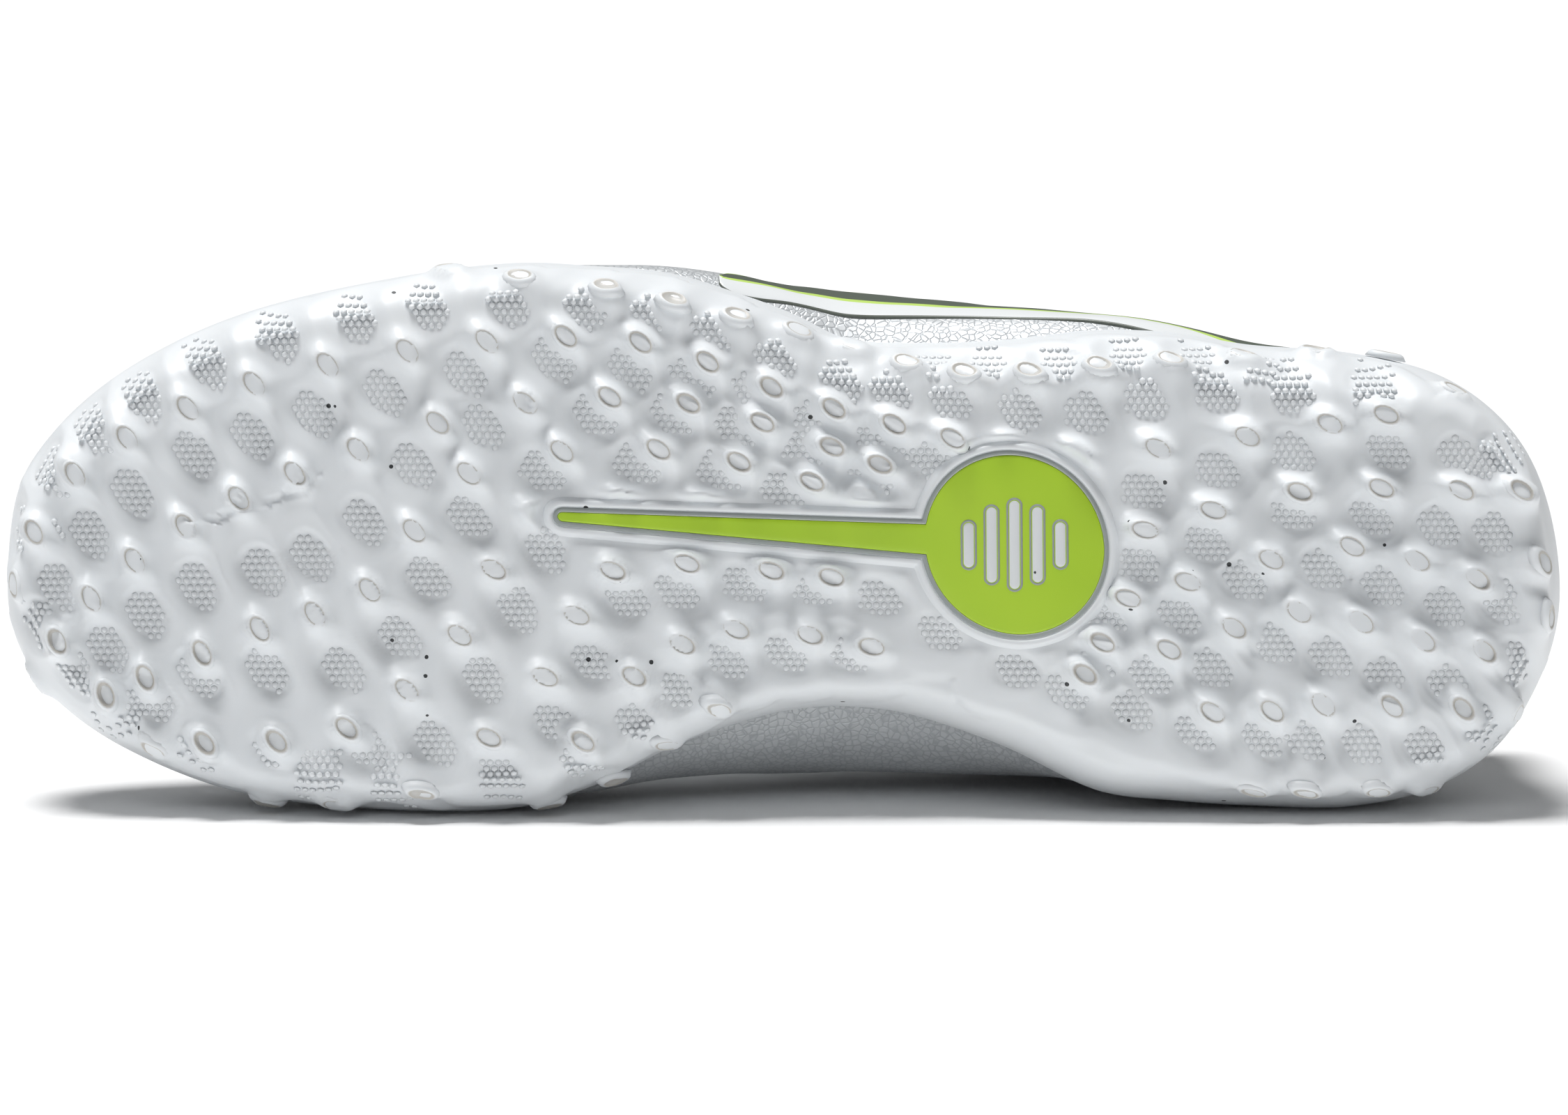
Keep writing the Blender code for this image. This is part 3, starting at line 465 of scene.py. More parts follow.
# A row's cells: half the length and half the width in mm, lean in degrees at its two ends, depth in mm
CELL_SHAPES = {
    "rim": (4.7, 3.8, 60, 40, 0.6), "waist": (4.0, 2.6, 10, 10, 0.3), "outer": (5.6, 3.3, 55, 30, 1.0),
    "heel outer": (4.6, 3.6, 20, 45, 0.8), "second": (5.2, 3.4, 60, 30, 1.0),
    "heel second": (4.6, 3.6, 20, 50, 0.9), "third": (5.2, 3.4, 55, 25, 1.0),
    "heel third": (4.8, 3.4, 25, 55, 0.9), "fourth": (5.0, 3.4, 35, 60, 1.0),
    "heel fourth": (4.8, 3.4, 30, 55, 0.9), "fifth": (4.8, 3.2, 30, 20, 0.9),
    "heel fifth": (4.6, 3.2, 40, 60, 0.8), "inner": (4.6, 3.2, 45, 20, 0.8),
}
RIDGE_RISE = 0.7 * MM
SEAT_DEPTH = 1.2 * MM
SEAT_EDGE = 0.6 * MM

cell_plans, cell_leans, cell_sizes, cell_crisp = [], [], [], []
for row_name, row in CELL_ROWS.items():
    half_length, half_width, low_lean, high_lean, depth = CELL_SHAPES[row_name]
    row = np.array(row)
    cell_plans.append(plan_point(row[:, 0], row[:, 1]))
    cell_leans.append(np.linspace(low_lean, high_lean, len(row)))
    cell_sizes.append(np.tile((half_length * MM, half_width * MM, depth * MM), (len(row), 1)))
    cell_crisp.append(np.full(len(row), 1.0 if row_name == "rim" else 0.75))
cell_plans = np.concatenate(cell_plans)
cell_leans = np.concatenate(cell_leans)
cell_sizes = np.concatenate(cell_sizes)
cell_crisp = np.concatenate(cell_crisp)
cell_points, cell_normals = sole_place(cell_plans)


def local_axes(normals, leans):
    """Long and short directions in the face, the long one leaning from the length in plan."""
    angle = np.radians(leans)
    long_axis = np.stack((np.cos(angle), np.sin(angle), np.zeros(len(angle))), -1)
    long_axis -= normals * np.sum(long_axis * normals, -1, keepdims=True)
    long_axis /= np.linalg.norm(long_axis, axis=-1, keepdims=True)
    return long_axis, np.cross(normals, long_axis)


cell_long, cell_short = local_axes(cell_normals, cell_leans)
stud_long, stud_short = local_axes(stud_normals, stud_leans)


def leaf_distance(away, long_axis, short_axis, half_length, half_width):
    """Distance from a cell's centre, 1 at its edge; the cell is an oval with one pointed end."""
    forth = away @ long_axis / half_length
    side = away @ short_axis / half_width
    return (np.abs(forth) ** 2.2 + np.abs(side * (1 + 0.18 * forth)) ** 2.2) ** (1 / 2.2)


def ground_relief(points):
    """Height of the ground between the studs over the plain tread: cells, and ridges round them."""
    near = np.full(len(points), 9.0)
    depth = np.zeros(len(points))
    for index in range(len(cell_points)):
        away = points - cell_points[index]
        inside = np.sum(away ** 2, -1) < (12 * MM) ** 2
        half_length, half_width, cell_depth = cell_sizes[index]
        distance = leaf_distance(away[inside], cell_long[index], cell_short[index], half_length, half_width)
        closer = distance < near[inside]
        picked = np.flatnonzero(inside)[closer]
        near[picked] = distance[closer]
        depth[picked] = cell_depth
    bowl = 1 - soft_step(0.92, 1.22, near)
    ridge = soft_step(1.1, 1.9, near) * (1 - soft_step(2.2, 3.2, near))
    gap = inlay_gap(points[:, :2])
    relief = (RIDGE_RISE * ridge - 0.7 * depth * bowl) * soft_step(2.2 * MM, 5 * MM, gap)
    return relief - SEAT_DEPTH * (1 - soft_step(-SEAT_EDGE, SEAT_EDGE, gap))


# The sole's studs stop a little short of their tips, which are pieces of their own
STUD_SINK = 0.93


def stud_relief(points):
    """Height of the studs' cones and skirts over the ground."""
    height = np.zeros(len(points))
    for index in range(len(stud_points)):
        away = points - stud_points[index]
        inside = np.sum(away ** 2, -1) < (9 * MM) ** 2
        forth = away[inside] @ stud_long[index] / STUD_HALF_LENGTH
        side = away[inside] @ stud_short[index] / STUD_HALF_WIDTH
        distance = np.sqrt(forth ** 2 + side ** 2)
        cone = np.where(distance < 1, 1.0, np.exp(-(np.maximum(distance - 1, 0) / 0.58) ** 1.3))
        height[inside] = np.maximum(height[inside], stud_heights[index] * cone)
    return height * soft_step(2.4 * MM, 4.4 * MM, inlay_gap(points[:, :2]))


INLAY_TIP = (0.358, 0.060)
INLAY_CENTRE = (0.647, 0.006)
INLAY_TIP_WIDTH = 1.6 * MM
INLAY_STEM_WIDTH = 6.4 * MM
INLAY_RADIUS = 16.4 * MM


def inlay_gap(plan):
    """Distance in plan from the edge of the inlay's seat, less than 0 inside it."""
    tip = plan_point(np.array(INLAY_TIP[0]), np.array(INLAY_TIP[1]))
    centre = plan_point(np.array(INLAY_CENTRE[0]), np.array(INLAY_CENTRE[1]))
    stem = centre - tip
    share = np.clip((plan - tip) @ stem / (stem @ stem), 0.0, 1.0)
    half = (INLAY_TIP_WIDTH + (INLAY_STEM_WIDTH - INLAY_TIP_WIDTH) * share) / 2
    beside = np.linalg.norm(plan - tip - share[:, None] * stem, axis=-1) - half
    return np.minimum(beside, np.linalg.norm(plan - centre, axis=-1) - INLAY_RADIUS)


STATIONS = 960
UNDER_RINGS = 60
WALL_RINGS = 25
ways = np.arange(STATIONS + 1) / STATIONS
roll = wall_inset(ways, 0)
rings = [floor_point(ways, roll, share, tread_base) for share in np.linspace(1, 0, UNDER_RINGS)]
rings += [wall_point(ways, np.full(STATIONS + 1, rise)) for rise in np.linspace(0, 1, WALL_RINGS + 1)[1:]]
outer_rings = len(rings)
face = np.array(rings)
EDGE_ROUNDINGS = 14
EDGE_RINGS = 6
start, end = UNDER_RINGS - EDGE_RINGS, UNDER_RINGS + EDGE_RINGS
for _ in range(EDGE_ROUNDINGS):
    face[start:end] = (face[start - 1:end - 1] + 2 * face[start:end] + face[start + 1:end + 1]) / 4
round_shoe = np.roll(face[:, :-1], -1, 1) - np.roll(face[:, :-1], 1, 1)
round_shoe = np.concatenate((round_shoe, round_shoe[:, :1]), 1)
up_wall = np.gradient(face, axis=0)
normals = np.cross(round_shoe, up_wall)
normals /= np.maximum(np.linalg.norm(normals, axis=-1, keepdims=True), 1e-12)
if normals[30, 200, 2] > 0:
    normals = -normals
normals[0] = (0, 0, -1)
flat = face.reshape(-1, 3)
relief = ground_relief(flat)
relief += stud_relief(flat) * STUD_SINK
ring_share = np.arange(outer_rings)[:, None] + np.zeros((1, STATIONS + 1))
fade = 1 - soft_step(UNDER_RINGS + 0.42 * WALL_RINGS, UNDER_RINGS + 0.62 * WALL_RINGS, ring_share)
WALL_GROOVE = 0.35 * MM
groove_line = np.exp(-((ring_share - UNDER_RINGS - 0.80 * WALL_RINGS) / 0.8) ** 2)
face = face + normals * ((relief.reshape(face.shape[:2]) * fade) - WALL_GROOVE * groove_line)[..., None]

lip = [wall_point(ways, np.ones(STATIONS + 1), inward) + np.array((0, 0, lift))
       for inward, lift in ((0.2 * CUP_WALL, 0.35 * MM), (0.5 * CUP_WALL, 0.5 * MM),
                            (0.8 * CUP_WALL, 0.35 * MM), (CUP_WALL, 0))]
edge_inset = foam_edge_inset(ways)
corner_inset = wall_inset(ways, foot_share(ways, CUP_FLOOR)) + CUP_WALL + GAP
inside_rings = [floor_point(ways, edge_inset, 0.0, foam_height)]
inside_rings += [floor_point(ways, corner_inset, share, lambda plan: tread_base(plan) + CUP_FLOOR)
                 for share in (0.0, 0.5, 1.0)]
outsole = wrap_sheet("outsole", [*face, *lip, *inside_rings])
sew(outsole, 0.01 * MM, outside=True)

rubber, rubber_shader = add_material("white moulded rubber")
rubber_shader.inputs["Roughness"].default_value = 0.42
rubber_shader.inputs["Specular IOR Level"].default_value = 0.45
rubber_shader.inputs["Subsurface Weight"].default_value = 0.12
rubber_shader.inputs["Subsurface Radius"].default_value = (0.9, 1.0, 1.1)
rubber_shader.inputs["Subsurface Scale"].default_value = 1.2 * MM
place = add_node(rubber, "ShaderNodeTexCoord").outputs["Object"]
blotches = add_node(rubber, "ShaderNodeTexNoise", {"Vector": place, "Scale": 28.0, "Detail": 3.0})
tint = add_node(rubber, "ShaderNodeMix", {"Factor": blotches.outputs["Fac"], "A": linear_colour("#E8ECEF"),
                                          "B": linear_colour("#F1F4F6")}, data_type='RGBA')
crumbs = add_node(rubber, "ShaderNodeTexVoronoi", {"Vector": place, "Scale": 170.0, "Randomness": 1.0})
crumb_size = add_node(rubber, "ShaderNodeMath", {0: crumbs.outputs["Distance"], 1: 0.075},
                      operation='LESS_THAN')
crumb_kind = add_node(rubber, "ShaderNodeSeparateColor", {"Color": crumbs.outputs["Color"]})
crumb_few = add_node(rubber, "ShaderNodeMath", {0: crumb_kind.outputs["Red"], 1: 0.78},
                     operation='GREATER_THAN')
crumb = add_node(rubber, "ShaderNodeMath", {0: crumb_size.outputs[0], 1: crumb_few.outputs[0]},
                 operation='MULTIPLY')
speckled = add_node(rubber, "ShaderNodeMix", {"Factor": crumb.outputs[0], "A": tint.outputs["Result"],
                                              "B": linear_colour("#3B3D3F")}, data_type='RGBA')
rubber.node_tree.links.new(speckled.outputs["Result"], rubber_shader.inputs["Base Color"])
finish_piece(outsole, rubber, "outsole", "outsole")


# Stud tips
# The top of each stud is a dished oval with a thin beige lip, moulded with the sole. Its dish is tinted
# darker towards that beige as painted shade. None stands on the inlay or its frame.
TIP_SEGMENTS = 16
STUD_CLEARANCE = 5 * MM
# The lip attribute is 1 on the lip, whose beige is its own colour; the dish's middle and floor get part of
# that beige as painted shade
MIDDLE_PAINTED_SHADE, DISH_PAINTED_SHADE = 0.8, 0.65
TIP_RINGS = ((0.62, 0.78), (0.80, 1.02), (0.98, 1.02), (1.16, 0.80), (1.40, 0.10))
tip_angles = np.arange(TIP_SEGMENTS) * 2 * np.pi / TIP_SEGMENTS
tip_corners, tip_faces, tip_lip_and_painted_shade = [], [], []
for index in np.flatnonzero(inlay_gap(stud_plans) > STUD_CLEARANCE):
    start = len(tip_corners) * (1 + TIP_SEGMENTS * len(TIP_RINGS))
    rings = [stud_points[index][None, :] + np.zeros((1, 3))]
    heights = [np.array((0.72,))]
    for reach, height in TIP_RINGS:
        forth = np.cos(tip_angles)[:, None] * stud_long[index] * STUD_HALF_LENGTH * reach
        side = np.sin(tip_angles)[:, None] * stud_short[index] * STUD_HALF_WIDTH * reach
        rings.append(stud_points[index] + forth + side)
        heights.append(np.full(TIP_SEGMENTS, height))
    tip_corners.append((np.concatenate(rings), np.concatenate(heights), index))
    for step in range(TIP_SEGMENTS):
        after = (step + 1) % TIP_SEGMENTS
        tip_faces.append((start, start + 1 + step, start + 1 + after))
        for ring in range(len(TIP_RINGS) - 1):
            low = start + 1 + ring * TIP_SEGMENTS
            high = low + TIP_SEGMENTS
            tip_faces.append((low + step, high + step, high + after, low + after))
    tip_faces.append(tuple(start + len(TIP_RINGS) * TIP_SEGMENTS - step for step in range(TIP_SEGMENTS)))
    tip_lip_and_painted_shade.append(MIDDLE_PAINTED_SHADE)
    for share in (DISH_PAINTED_SHADE, 1.0, *[0.0] * (len(TIP_RINGS) - 2)):
        tip_lip_and_painted_shade += [share] * TIP_SEGMENTS
tip_points = np.concatenate([corners for corners, heights, index in tip_corners])
tip_ground = ground_relief(tip_points)
tip_heights = np.concatenate([heights * stud_heights[index] for corners, heights, index in tip_corners])
tip_normals = np.concatenate([np.tile(stud_normals[index], (len(corners), 1))
                              for corners, heights, index in tip_corners])
tip_points = tip_points + tip_normals * (tip_heights + tip_ground * 0.6)[:, None]


def add_shell(name, points, faces):
    """A piece from corners of the upright shoe and its faces."""
    data = bpy.data.meshes.new(name)
    data.from_pydata(lay_points(points).tolist(), [], faces)
    data.shade_smooth()
    piece = bpy.data.objects.new(name, data)
    bpy.context.scene.collection.objects.link(piece)
    return piece


def add_attribute(piece, name, values):
    """One number for each corner, which the material reads."""
    attribute = piece.data.attributes.new(name, 'FLOAT', 'POINT')
    attribute.data.foreach_set("value", np.asarray(values, np.float32))


stud_tips = add_shell("stud_tips", tip_points, tip_faces)
add_attribute(stud_tips, "lip", tip_lip_and_painted_shade)
tip_rubber = rubber.copy()
tip_rubber.name = "white rubber, stud tips"
tip_shader = tip_rubber.node_tree.nodes["Principled BSDF"]
# Beige of the lip, which in the dish stands for painted shade
lip = add_node(tip_rubber, "ShaderNodeAttribute", attribute_name="lip")
speckled_tip = tip_shader.inputs["Base Color"].links[0].from_socket
lip_and_painted_shade_tint = add_node(tip_rubber, "ShaderNodeMix", {"Factor": lip.outputs["Fac"], "A": speckled_tip,
                                                  "B": linear_colour("#C4C0B8")}, data_type='RGBA')
tip_rubber.node_tree.links.new(lip_and_painted_shade_tint.outputs["Result"], tip_shader.inputs["Base Color"])
finish_piece(stud_tips, tip_rubber, "outsole")


# Pebbles
# Rounded grains of the sole's own rubber on the floor of each cell. They are moulded in one with the
# sole, in rows set half a grain apart.
PEBBLE_PITCH = 1.45 * MM
PEBBLE_RADIUS = 0.70 * MM
PEBBLE_RISE = 0.36 * MM
pebble_plans, pebble_heights = [], []
for index in range(len(cell_plans)):
    rows = np.arange(-8, 9)
    columns = np.arange(-8, 9)
    grid_x, grid_y = np.meshgrid(columns, rows)
    spots = np.stack(((grid_x + 0.5 * (grid_y % 2)) * PEBBLE_PITCH, grid_y * PEBBLE_PITCH * 0.866), -1)
    spots = spots.reshape(-1, 2)
    away = np.concatenate((spots, np.zeros((len(spots), 1))), -1)
    half_length, half_width, depth = cell_sizes[index]
    distance = leaf_distance(away, cell_long[index] * (1, 1, 0), cell_short[index] * (1, 1, 0),
                             half_length, half_width)
    kept = spots[distance < 0.90] + cell_plans[index]
    pebble_plans.append(kept)
    pebble_heights.append(np.full(len(kept), cell_crisp[index]))
pebble_plans = np.concatenate(pebble_plans)
pebble_heights = np.concatenate(pebble_heights)
pebble_bases, pebble_normals = sole_place(pebble_plans)
pebble_ground = ground_relief(pebble_bases)
pebble_studs = stud_relief(pebble_bases)
pebble_insets = rim_place(pebble_plans)[1]
clear = (pebble_studs < 0.5 * MM) & (pebble_insets > 1.8 * MM)
pebble_bases = (pebble_bases + pebble_normals * (pebble_ground + pebble_studs * STUD_SINK)[:, None])[clear]
pebble_normals, pebble_heights = pebble_normals[clear], pebble_heights[clear]
dome_angles = np.arange(6) * np.pi / 3 + np.pi / 6
dome = [(math.cos(turn), math.sin(turn), -0.12) for turn in dome_angles]
dome += [(0.66 * math.cos(turn), 0.66 * math.sin(turn), 0.72) for turn in dome_angles]
dome = np.array(dome + [(0, 0, 1.0)])
long_axis, short_axis = local_axes(pebble_normals, np.zeros(len(pebble_normals)))
corners = (pebble_bases[:, None] + dome[None, :, :1] * PEBBLE_RADIUS * long_axis[:, None]
           + dome[None, :, 1:2] * PEBBLE_RADIUS * short_axis[:, None]
           + dome[None, :, 2:] * (PEBBLE_RISE * pebble_heights)[:, None, None] * pebble_normals[:, None])
dome_faces = [(step, (step + 1) % 6, 6 + (step + 1) % 6, 6 + step) for step in range(6)]
dome_faces += [(6 + step, 6 + (step + 1) % 6, 12) for step in range(6)]
dome_faces.append((5, 4, 3, 2, 1, 0))
pebble_faces = [tuple(13 * number + corner for corner in face_corners)
                for number in range(len(corners)) for face_corners in dome_faces]
pebbles = add_shell("tread_pebbles", corners.reshape(-1, 3), pebble_faces)
finish_piece(pebbles, rubber, "outsole")


# Inlay
# A lime rubber plate with a tapered stem, pressed into a frame that is moulded with the sole. Five
# plain white bars are let into the plate.


def inlay_half_width(place, grow):
    """Half the inlay's width at a distance from the toe."""
    start = INLAY_TIP[0] * LENGTH - grow
    centre = INLAY_CENTRE[0] * LENGTH
    radius = INLAY_RADIUS + grow
    share = np.maximum(0.0, (place - start) / (centre - start))
    stem = (INLAY_TIP_WIDTH + (INLAY_STEM_WIDTH - INLAY_TIP_WIDTH) * share) / 2 + grow
    tip = INLAY_TIP_WIDTH / 2 + grow
    reach = place - start
    stem = np.where(reach < tip, np.sqrt(np.maximum(tip ** 2 - (tip - reach) ** 2, 0.0)), stem)
    plate = np.sqrt(np.maximum(radius ** 2 - (place - centre) ** 2, 0.0))
    return np.maximum(np.where(place < centre, stem, 0.0), plate)


def inlay_row(grow, share, lift):
    """Points along the inlay's shape, grown in plan, at a share of its half width."""
    start = INLAY_TIP[0] * LENGTH - grow
    end = INLAY_CENTRE[0] * LENGTH + INLAY_RADIUS + grow
    neck = INLAY_CENTRE[0] * LENGTH - INLAY_RADIUS - grow
    stem = start + (neck - start) * (1 - np.cos(np.linspace(0, np.pi / 2, 40)))
    plate = neck + (end - neck) * (1 - np.cos(np.linspace(0, np.pi, 70))) / 2
    along = np.concatenate((stem[:-1], plate))
    run = (along / LENGTH - INLAY_TIP[0]) / (INLAY_CENTRE[0] - INLAY_TIP[0])
    middle = plan_point(along / LENGTH, INLAY_TIP[1] + (INLAY_CENTRE[1] - INLAY_TIP[1]) * run)
    half = inlay_half_width(along, grow)
    plan = middle + np.stack((np.zeros(len(half)), share * half), -1)
    return raised(plan, tread_base(plan) - lift)


def inlay_ring(grow, lift):
    """The inlay's outline, grown in plan, once round and back to its start."""
    there, back = inlay_row(grow, 1, lift), inlay_row(grow, -1, lift)[::-1]
    return np.concatenate((there, back[1:]))


# Grow in plan and rise over the tread, from the frame's foot over its lip to the grey edge
FRAME_RINGS = ((3.4, -0.8), (2.7, 0.10), (2.3, 0.50), (2.1, 0.85), (1.8, 1.0), (1.4, 1.0), (1.15, 0.85),
               (1.05, 0.55), (0.95, 0.55), (0.85, 0.78), (0.2, 0.82), (0.06, 0.70), (0.06, -1.0), (3.4, -1.4),
               (3.4, -0.8))
frame_rows = [inlay_ring(grow * MM, rise * MM) for grow, rise in FRAME_RINGS]
inlay_frame = wrap_sheet("inlay_frame", frame_rows)
ring_size = len(frame_rows[0])
greys = np.zeros((len(FRAME_RINGS), ring_size))
greys[9:11] = 1.0
add_attribute(inlay_frame, "grey", greys.ravel())
sew(inlay_frame, 0.02 * MM, outside=True)
frame_rubber = rubber.copy()
frame_rubber.name = "white rubber, inlay frame"
frame_shader = frame_rubber.node_tree.nodes["Principled BSDF"]
grey = add_node(frame_rubber, "ShaderNodeAttribute", attribute_name="grey")
white = frame_shader.inputs["Base Color"].links[0].from_socket
frame_tint = add_node(frame_rubber, "ShaderNodeMix", {"Factor": grey.outputs["Fac"], "A": white,
                                                      "B": linear_colour("#A3AAA8")}, data_type='RGBA')
frame_rubber.node_tree.links.new(frame_tint.outputs["Result"], frame_shader.inputs["Base Color"])
finish_piece(inlay_frame, frame_rubber, "outsole")

plate_rows = [inlay_row(0, -1, -0.7 * MM)]
plate_rows += [inlay_row(0, share, (0.74 + 0.14 * min(1, (1 - abs(share)) * 6)) * MM)
               for share in (-1, -0.97, -0.9, -0.75, -0.5, -0.25, 0, 0.25, 0.5, 0.75, 0.9, 0.97, 1)]
plate_rows += [inlay_row(0, 1, -0.7 * MM), inlay_row(0, -1, -0.7 * MM)]
inlay = wrap_sheet("inlay_plate", plate_rows)
sew(inlay, 0.03 * MM, outside=True)
lime, lime_shader = add_material("lime moulded rubber")
lime_shader.inputs["Roughness"].default_value = 0.36
lime_shader.inputs["Subsurface Weight"].default_value = 0.10
lime_shader.inputs["Subsurface Radius"].default_value = (0.8, 1.0, 0.3)
lime_shader.inputs["Subsurface Scale"].default_value = 1.0 * MM
lime_place = add_node(lime, "ShaderNodeTexCoord").outputs["Object"]
lime_cloud = add_node(lime, "ShaderNodeTexNoise", {"Vector": lime_place, "Scale": 42.0, "Detail": 2.0})
lime_tint = add_node(lime, "ShaderNodeMix", {"Factor": lime_cloud.outputs["Fac"],
                                             "A": linear_colour("#AED62A"), "B": linear_colour("#C2E63A")},
                     data_type='RGBA')
lime.node_tree.links.new(lime_tint.outputs["Result"], lime_shader.inputs["Base Color"])
finish_piece(inlay, lime, "sole_inlay", "sole_inlay")

# Plain white bars let into the plate: place along the shoe from the plate's middle, half the length
BARS = ((-8.4, 4.2), (-4.2, 7.0), (0.0, 8.2), (4.2, 7.0), (8.4, 4.2))
BAR_HALF_WIDTH = 1.05 * MM
BAR_RINGS = ((0.50, 0.60), (0.45, 0.93), (0.10, 0.93), (0.02, 0.80), (-0.15, 0.92), (-0.60, 1.02))
bar_corners, bar_faces, bar_greys = [], [], []
bar_turns = np.arange(24) * 2 * np.pi / 24
for offset, half_length in BARS:
    centre = plan_point(np.array(INLAY_CENTRE[0]), np.array(INLAY_CENTRE[1])) + np.array((offset * MM, 0))
    start = sum(len(part) for part in bar_corners)
    for grow, rise in BAR_RINGS:
        radius = BAR_HALF_WIDTH + grow * MM
        ends = np.sign(np.sin(bar_turns + 1e-6)) * (half_length * MM - BAR_HALF_WIDTH)
        plan = centre + np.stack((radius * np.cos(bar_turns), radius * np.sin(bar_turns) + ends), -1)
        bar_corners.append(raised(plan, tread_base(plan) - rise * MM))
        bar_greys += [1.0 if 0.0 < grow < 0.5 else 0.0] * 24
    for ring in range(len(BAR_RINGS) - 1):
        for step in range(24):
            after = (step + 1) % 24
            low, high = start + ring * 24, start + ring * 24 + 24
            bar_faces.append((low + step, high + step, high + after, low + after))
    bar_faces.append(tuple(start + len(BAR_RINGS) * 24 - 1 - step for step in range(24)))
    bar_faces.append(tuple(start + step for step in range(24)))
inlay_bars = add_shell("inlay_bars", np.concatenate(bar_corners), bar_faces)
add_attribute(inlay_bars, "grey", bar_greys)
finish_piece(inlay_bars, frame_rubber, "sole_inlay")


# Midsole and insole
# The midsole is a moulded foam wedge that is glued inside the cup. Over it lies a loose sock liner,
# foam under brushed cloth, which turns up along its edges.


def add_celled(name, roughness, sheen, cells, randomness, middle, edge, strength, depth):
    """A material of small cells or loops, so many to the metre, tinted and bumped from their middles."""
    material, shader = add_material(name)
    shader.inputs["Roughness"].default_value = roughness
    shader.inputs["Sheen Weight"].default_value = sheen
    place = add_node(material, "ShaderNodeTexCoord").outputs["Object"]
    cell = add_node(material, "ShaderNodeTexVoronoi", {"Vector": place, "Scale": cells,
                                                       "Randomness": randomness})
    away = cell.outputs["Distance"]
    tint = add_node(material, "ShaderNodeMix", {"Factor": away, "A": linear_colour(middle),
                                                "B": linear_colour(edge)}, data_type='RGBA')
    bump = add_node(material, "ShaderNodeBump", {"Height": away, "Strength": strength, "Distance": depth})
    material.node_tree.links.new(tint.outputs["Result"], shader.inputs["Base Color"])
    material.node_tree.links.new(bump.outputs["Normal"], shader.inputs["Normal"])
    return material


foam = add_celled("white moulded foam", 0.85, 0.0, 1400.0, 1.0, "#EDEDE9", "#DADAD4", 0.2, 0.2 * MM)
midsole = frame["nodes"]["midsole"]
midsole.data.materials.clear()
midsole.data.materials.append(foam)

UPPER_WALL = 1.8 * MM
INSOLE_THICKNESS = 4 * MM
liner_ways = np.arange(241) / 240
liner_inset = foam_edge_inset(liner_ways) + 3 * GAP + UPPER_WALL
liner_rows = []
for share, lift in ((1, 0.0), (0.5, 0.0), (0.0, 0.0), (0.0, 2.0), (0.01, 4.3), (0.03, 4.9), (0.06, 4.7),
                    (0.12, 4.2), (0.25, 4.0), (0.5, 4.0), (0.75, 4.0), (1, 4.0)):
    liner_rows.append(floor_point(liner_ways, liner_inset, share,
                                  lambda plan: foam_height(plan) + GAP + lift / 4 * INSOLE_THICKNESS))
insole = wrap_sheet("insole", liner_rows)
sew(insole, 0.02 * MM, outside=True)
cloth = add_celled("grey brushed knit", 0.9, 0.3, 900.0, 1.0, "#A9ADB1", "#6F7478", 0.5, 0.4 * MM)
finish_piece(insole, cloth, "insole", "insole")


# Upper
# Silver-white leather with a pebbled grain, lasted into the cup. Behind the throat it is folded over
# the collar's foam, and a knitted lining covers its inside.
COLLAR_HEIGHT = 92 * MM
COLLAR_PAD = 3.6 * MM
# Way round, then share of the length from the toe, of the width and of the collar's height
TOP_EDGE = (
    (0.00, 0.332, 0.010, 0.665), (0.06, 0.336, 0.045, 0.670), (0.12, 0.352, 0.092, 0.695),
    (0.18, 0.398, 0.126, 0.770), (0.22, 0.462, 0.138, 0.865), (0.26, 0.545, 0.150, 0.985),
    (0.29, 0.606, 0.208, 0.985), (0.33, 0.700, 0.252, 0.850), (0.38, 0.812, 0.226, 0.800),
    (0.44, 0.925, 0.112, 0.890), (0.50, 0.958, -0.058, 0.955), (0.56, 0.925, -0.228, 0.890),
    (0.62, 0.812, -0.335, 0.800), (0.67, 0.700, -0.330, 0.850), (0.71, 0.606, -0.232, 0.985),
    (0.74, 0.545, -0.140, 0.985), (0.78, 0.462, -0.120, 0.865), (0.82, 0.398, -0.106, 0.770),
    (0.88, 0.352, -0.072, 0.695), (0.94, 0.336, -0.028, 0.670),
)
# Way round, then handles as shares of the width: out and up from the rim, out and down from the top
FULLNESS = (
    (0.00, -0.020, 0.150, 0.500, 0.050), (0.07, -0.015, 0.150, 0.450, 0.060),
    (0.14, 0.005, 0.150, 0.350, 0.090), (0.20, 0.040, 0.160, 0.250, 0.120),
    (0.25, 0.160, 0.180, 0.210, 0.110), (0.275, 0.210, 0.190, 0.180, 0.130),
    (0.30, 0.160, 0.200, 0.140, 0.180), (0.36, 0.040, 0.180, 0.050, 0.200),
    (0.43, 0.000, 0.160, 0.020, 0.200), (0.50, -0.005, 0.160, 0.020, 0.220),
    (0.57, 0.000, 0.160, 0.020, 0.200), (0.64, -0.010, 0.180, 0.030, 0.200),
    (0.67, -0.015, 0.190, 0.040, 0.190), (0.70, 0.100, 0.200, 0.100, 0.180),
    (0.725, 0.230, 0.200, 0.180, 0.140), (0.75, 0.270, 0.180, 0.210, 0.110),
    (0.80, 0.030, 0.160, 0.220, 0.120), (0.86, -0.005, 0.150, 0.320, 0.100),
    (0.93, -0.010, 0.150, 0.440, 0.060),
)


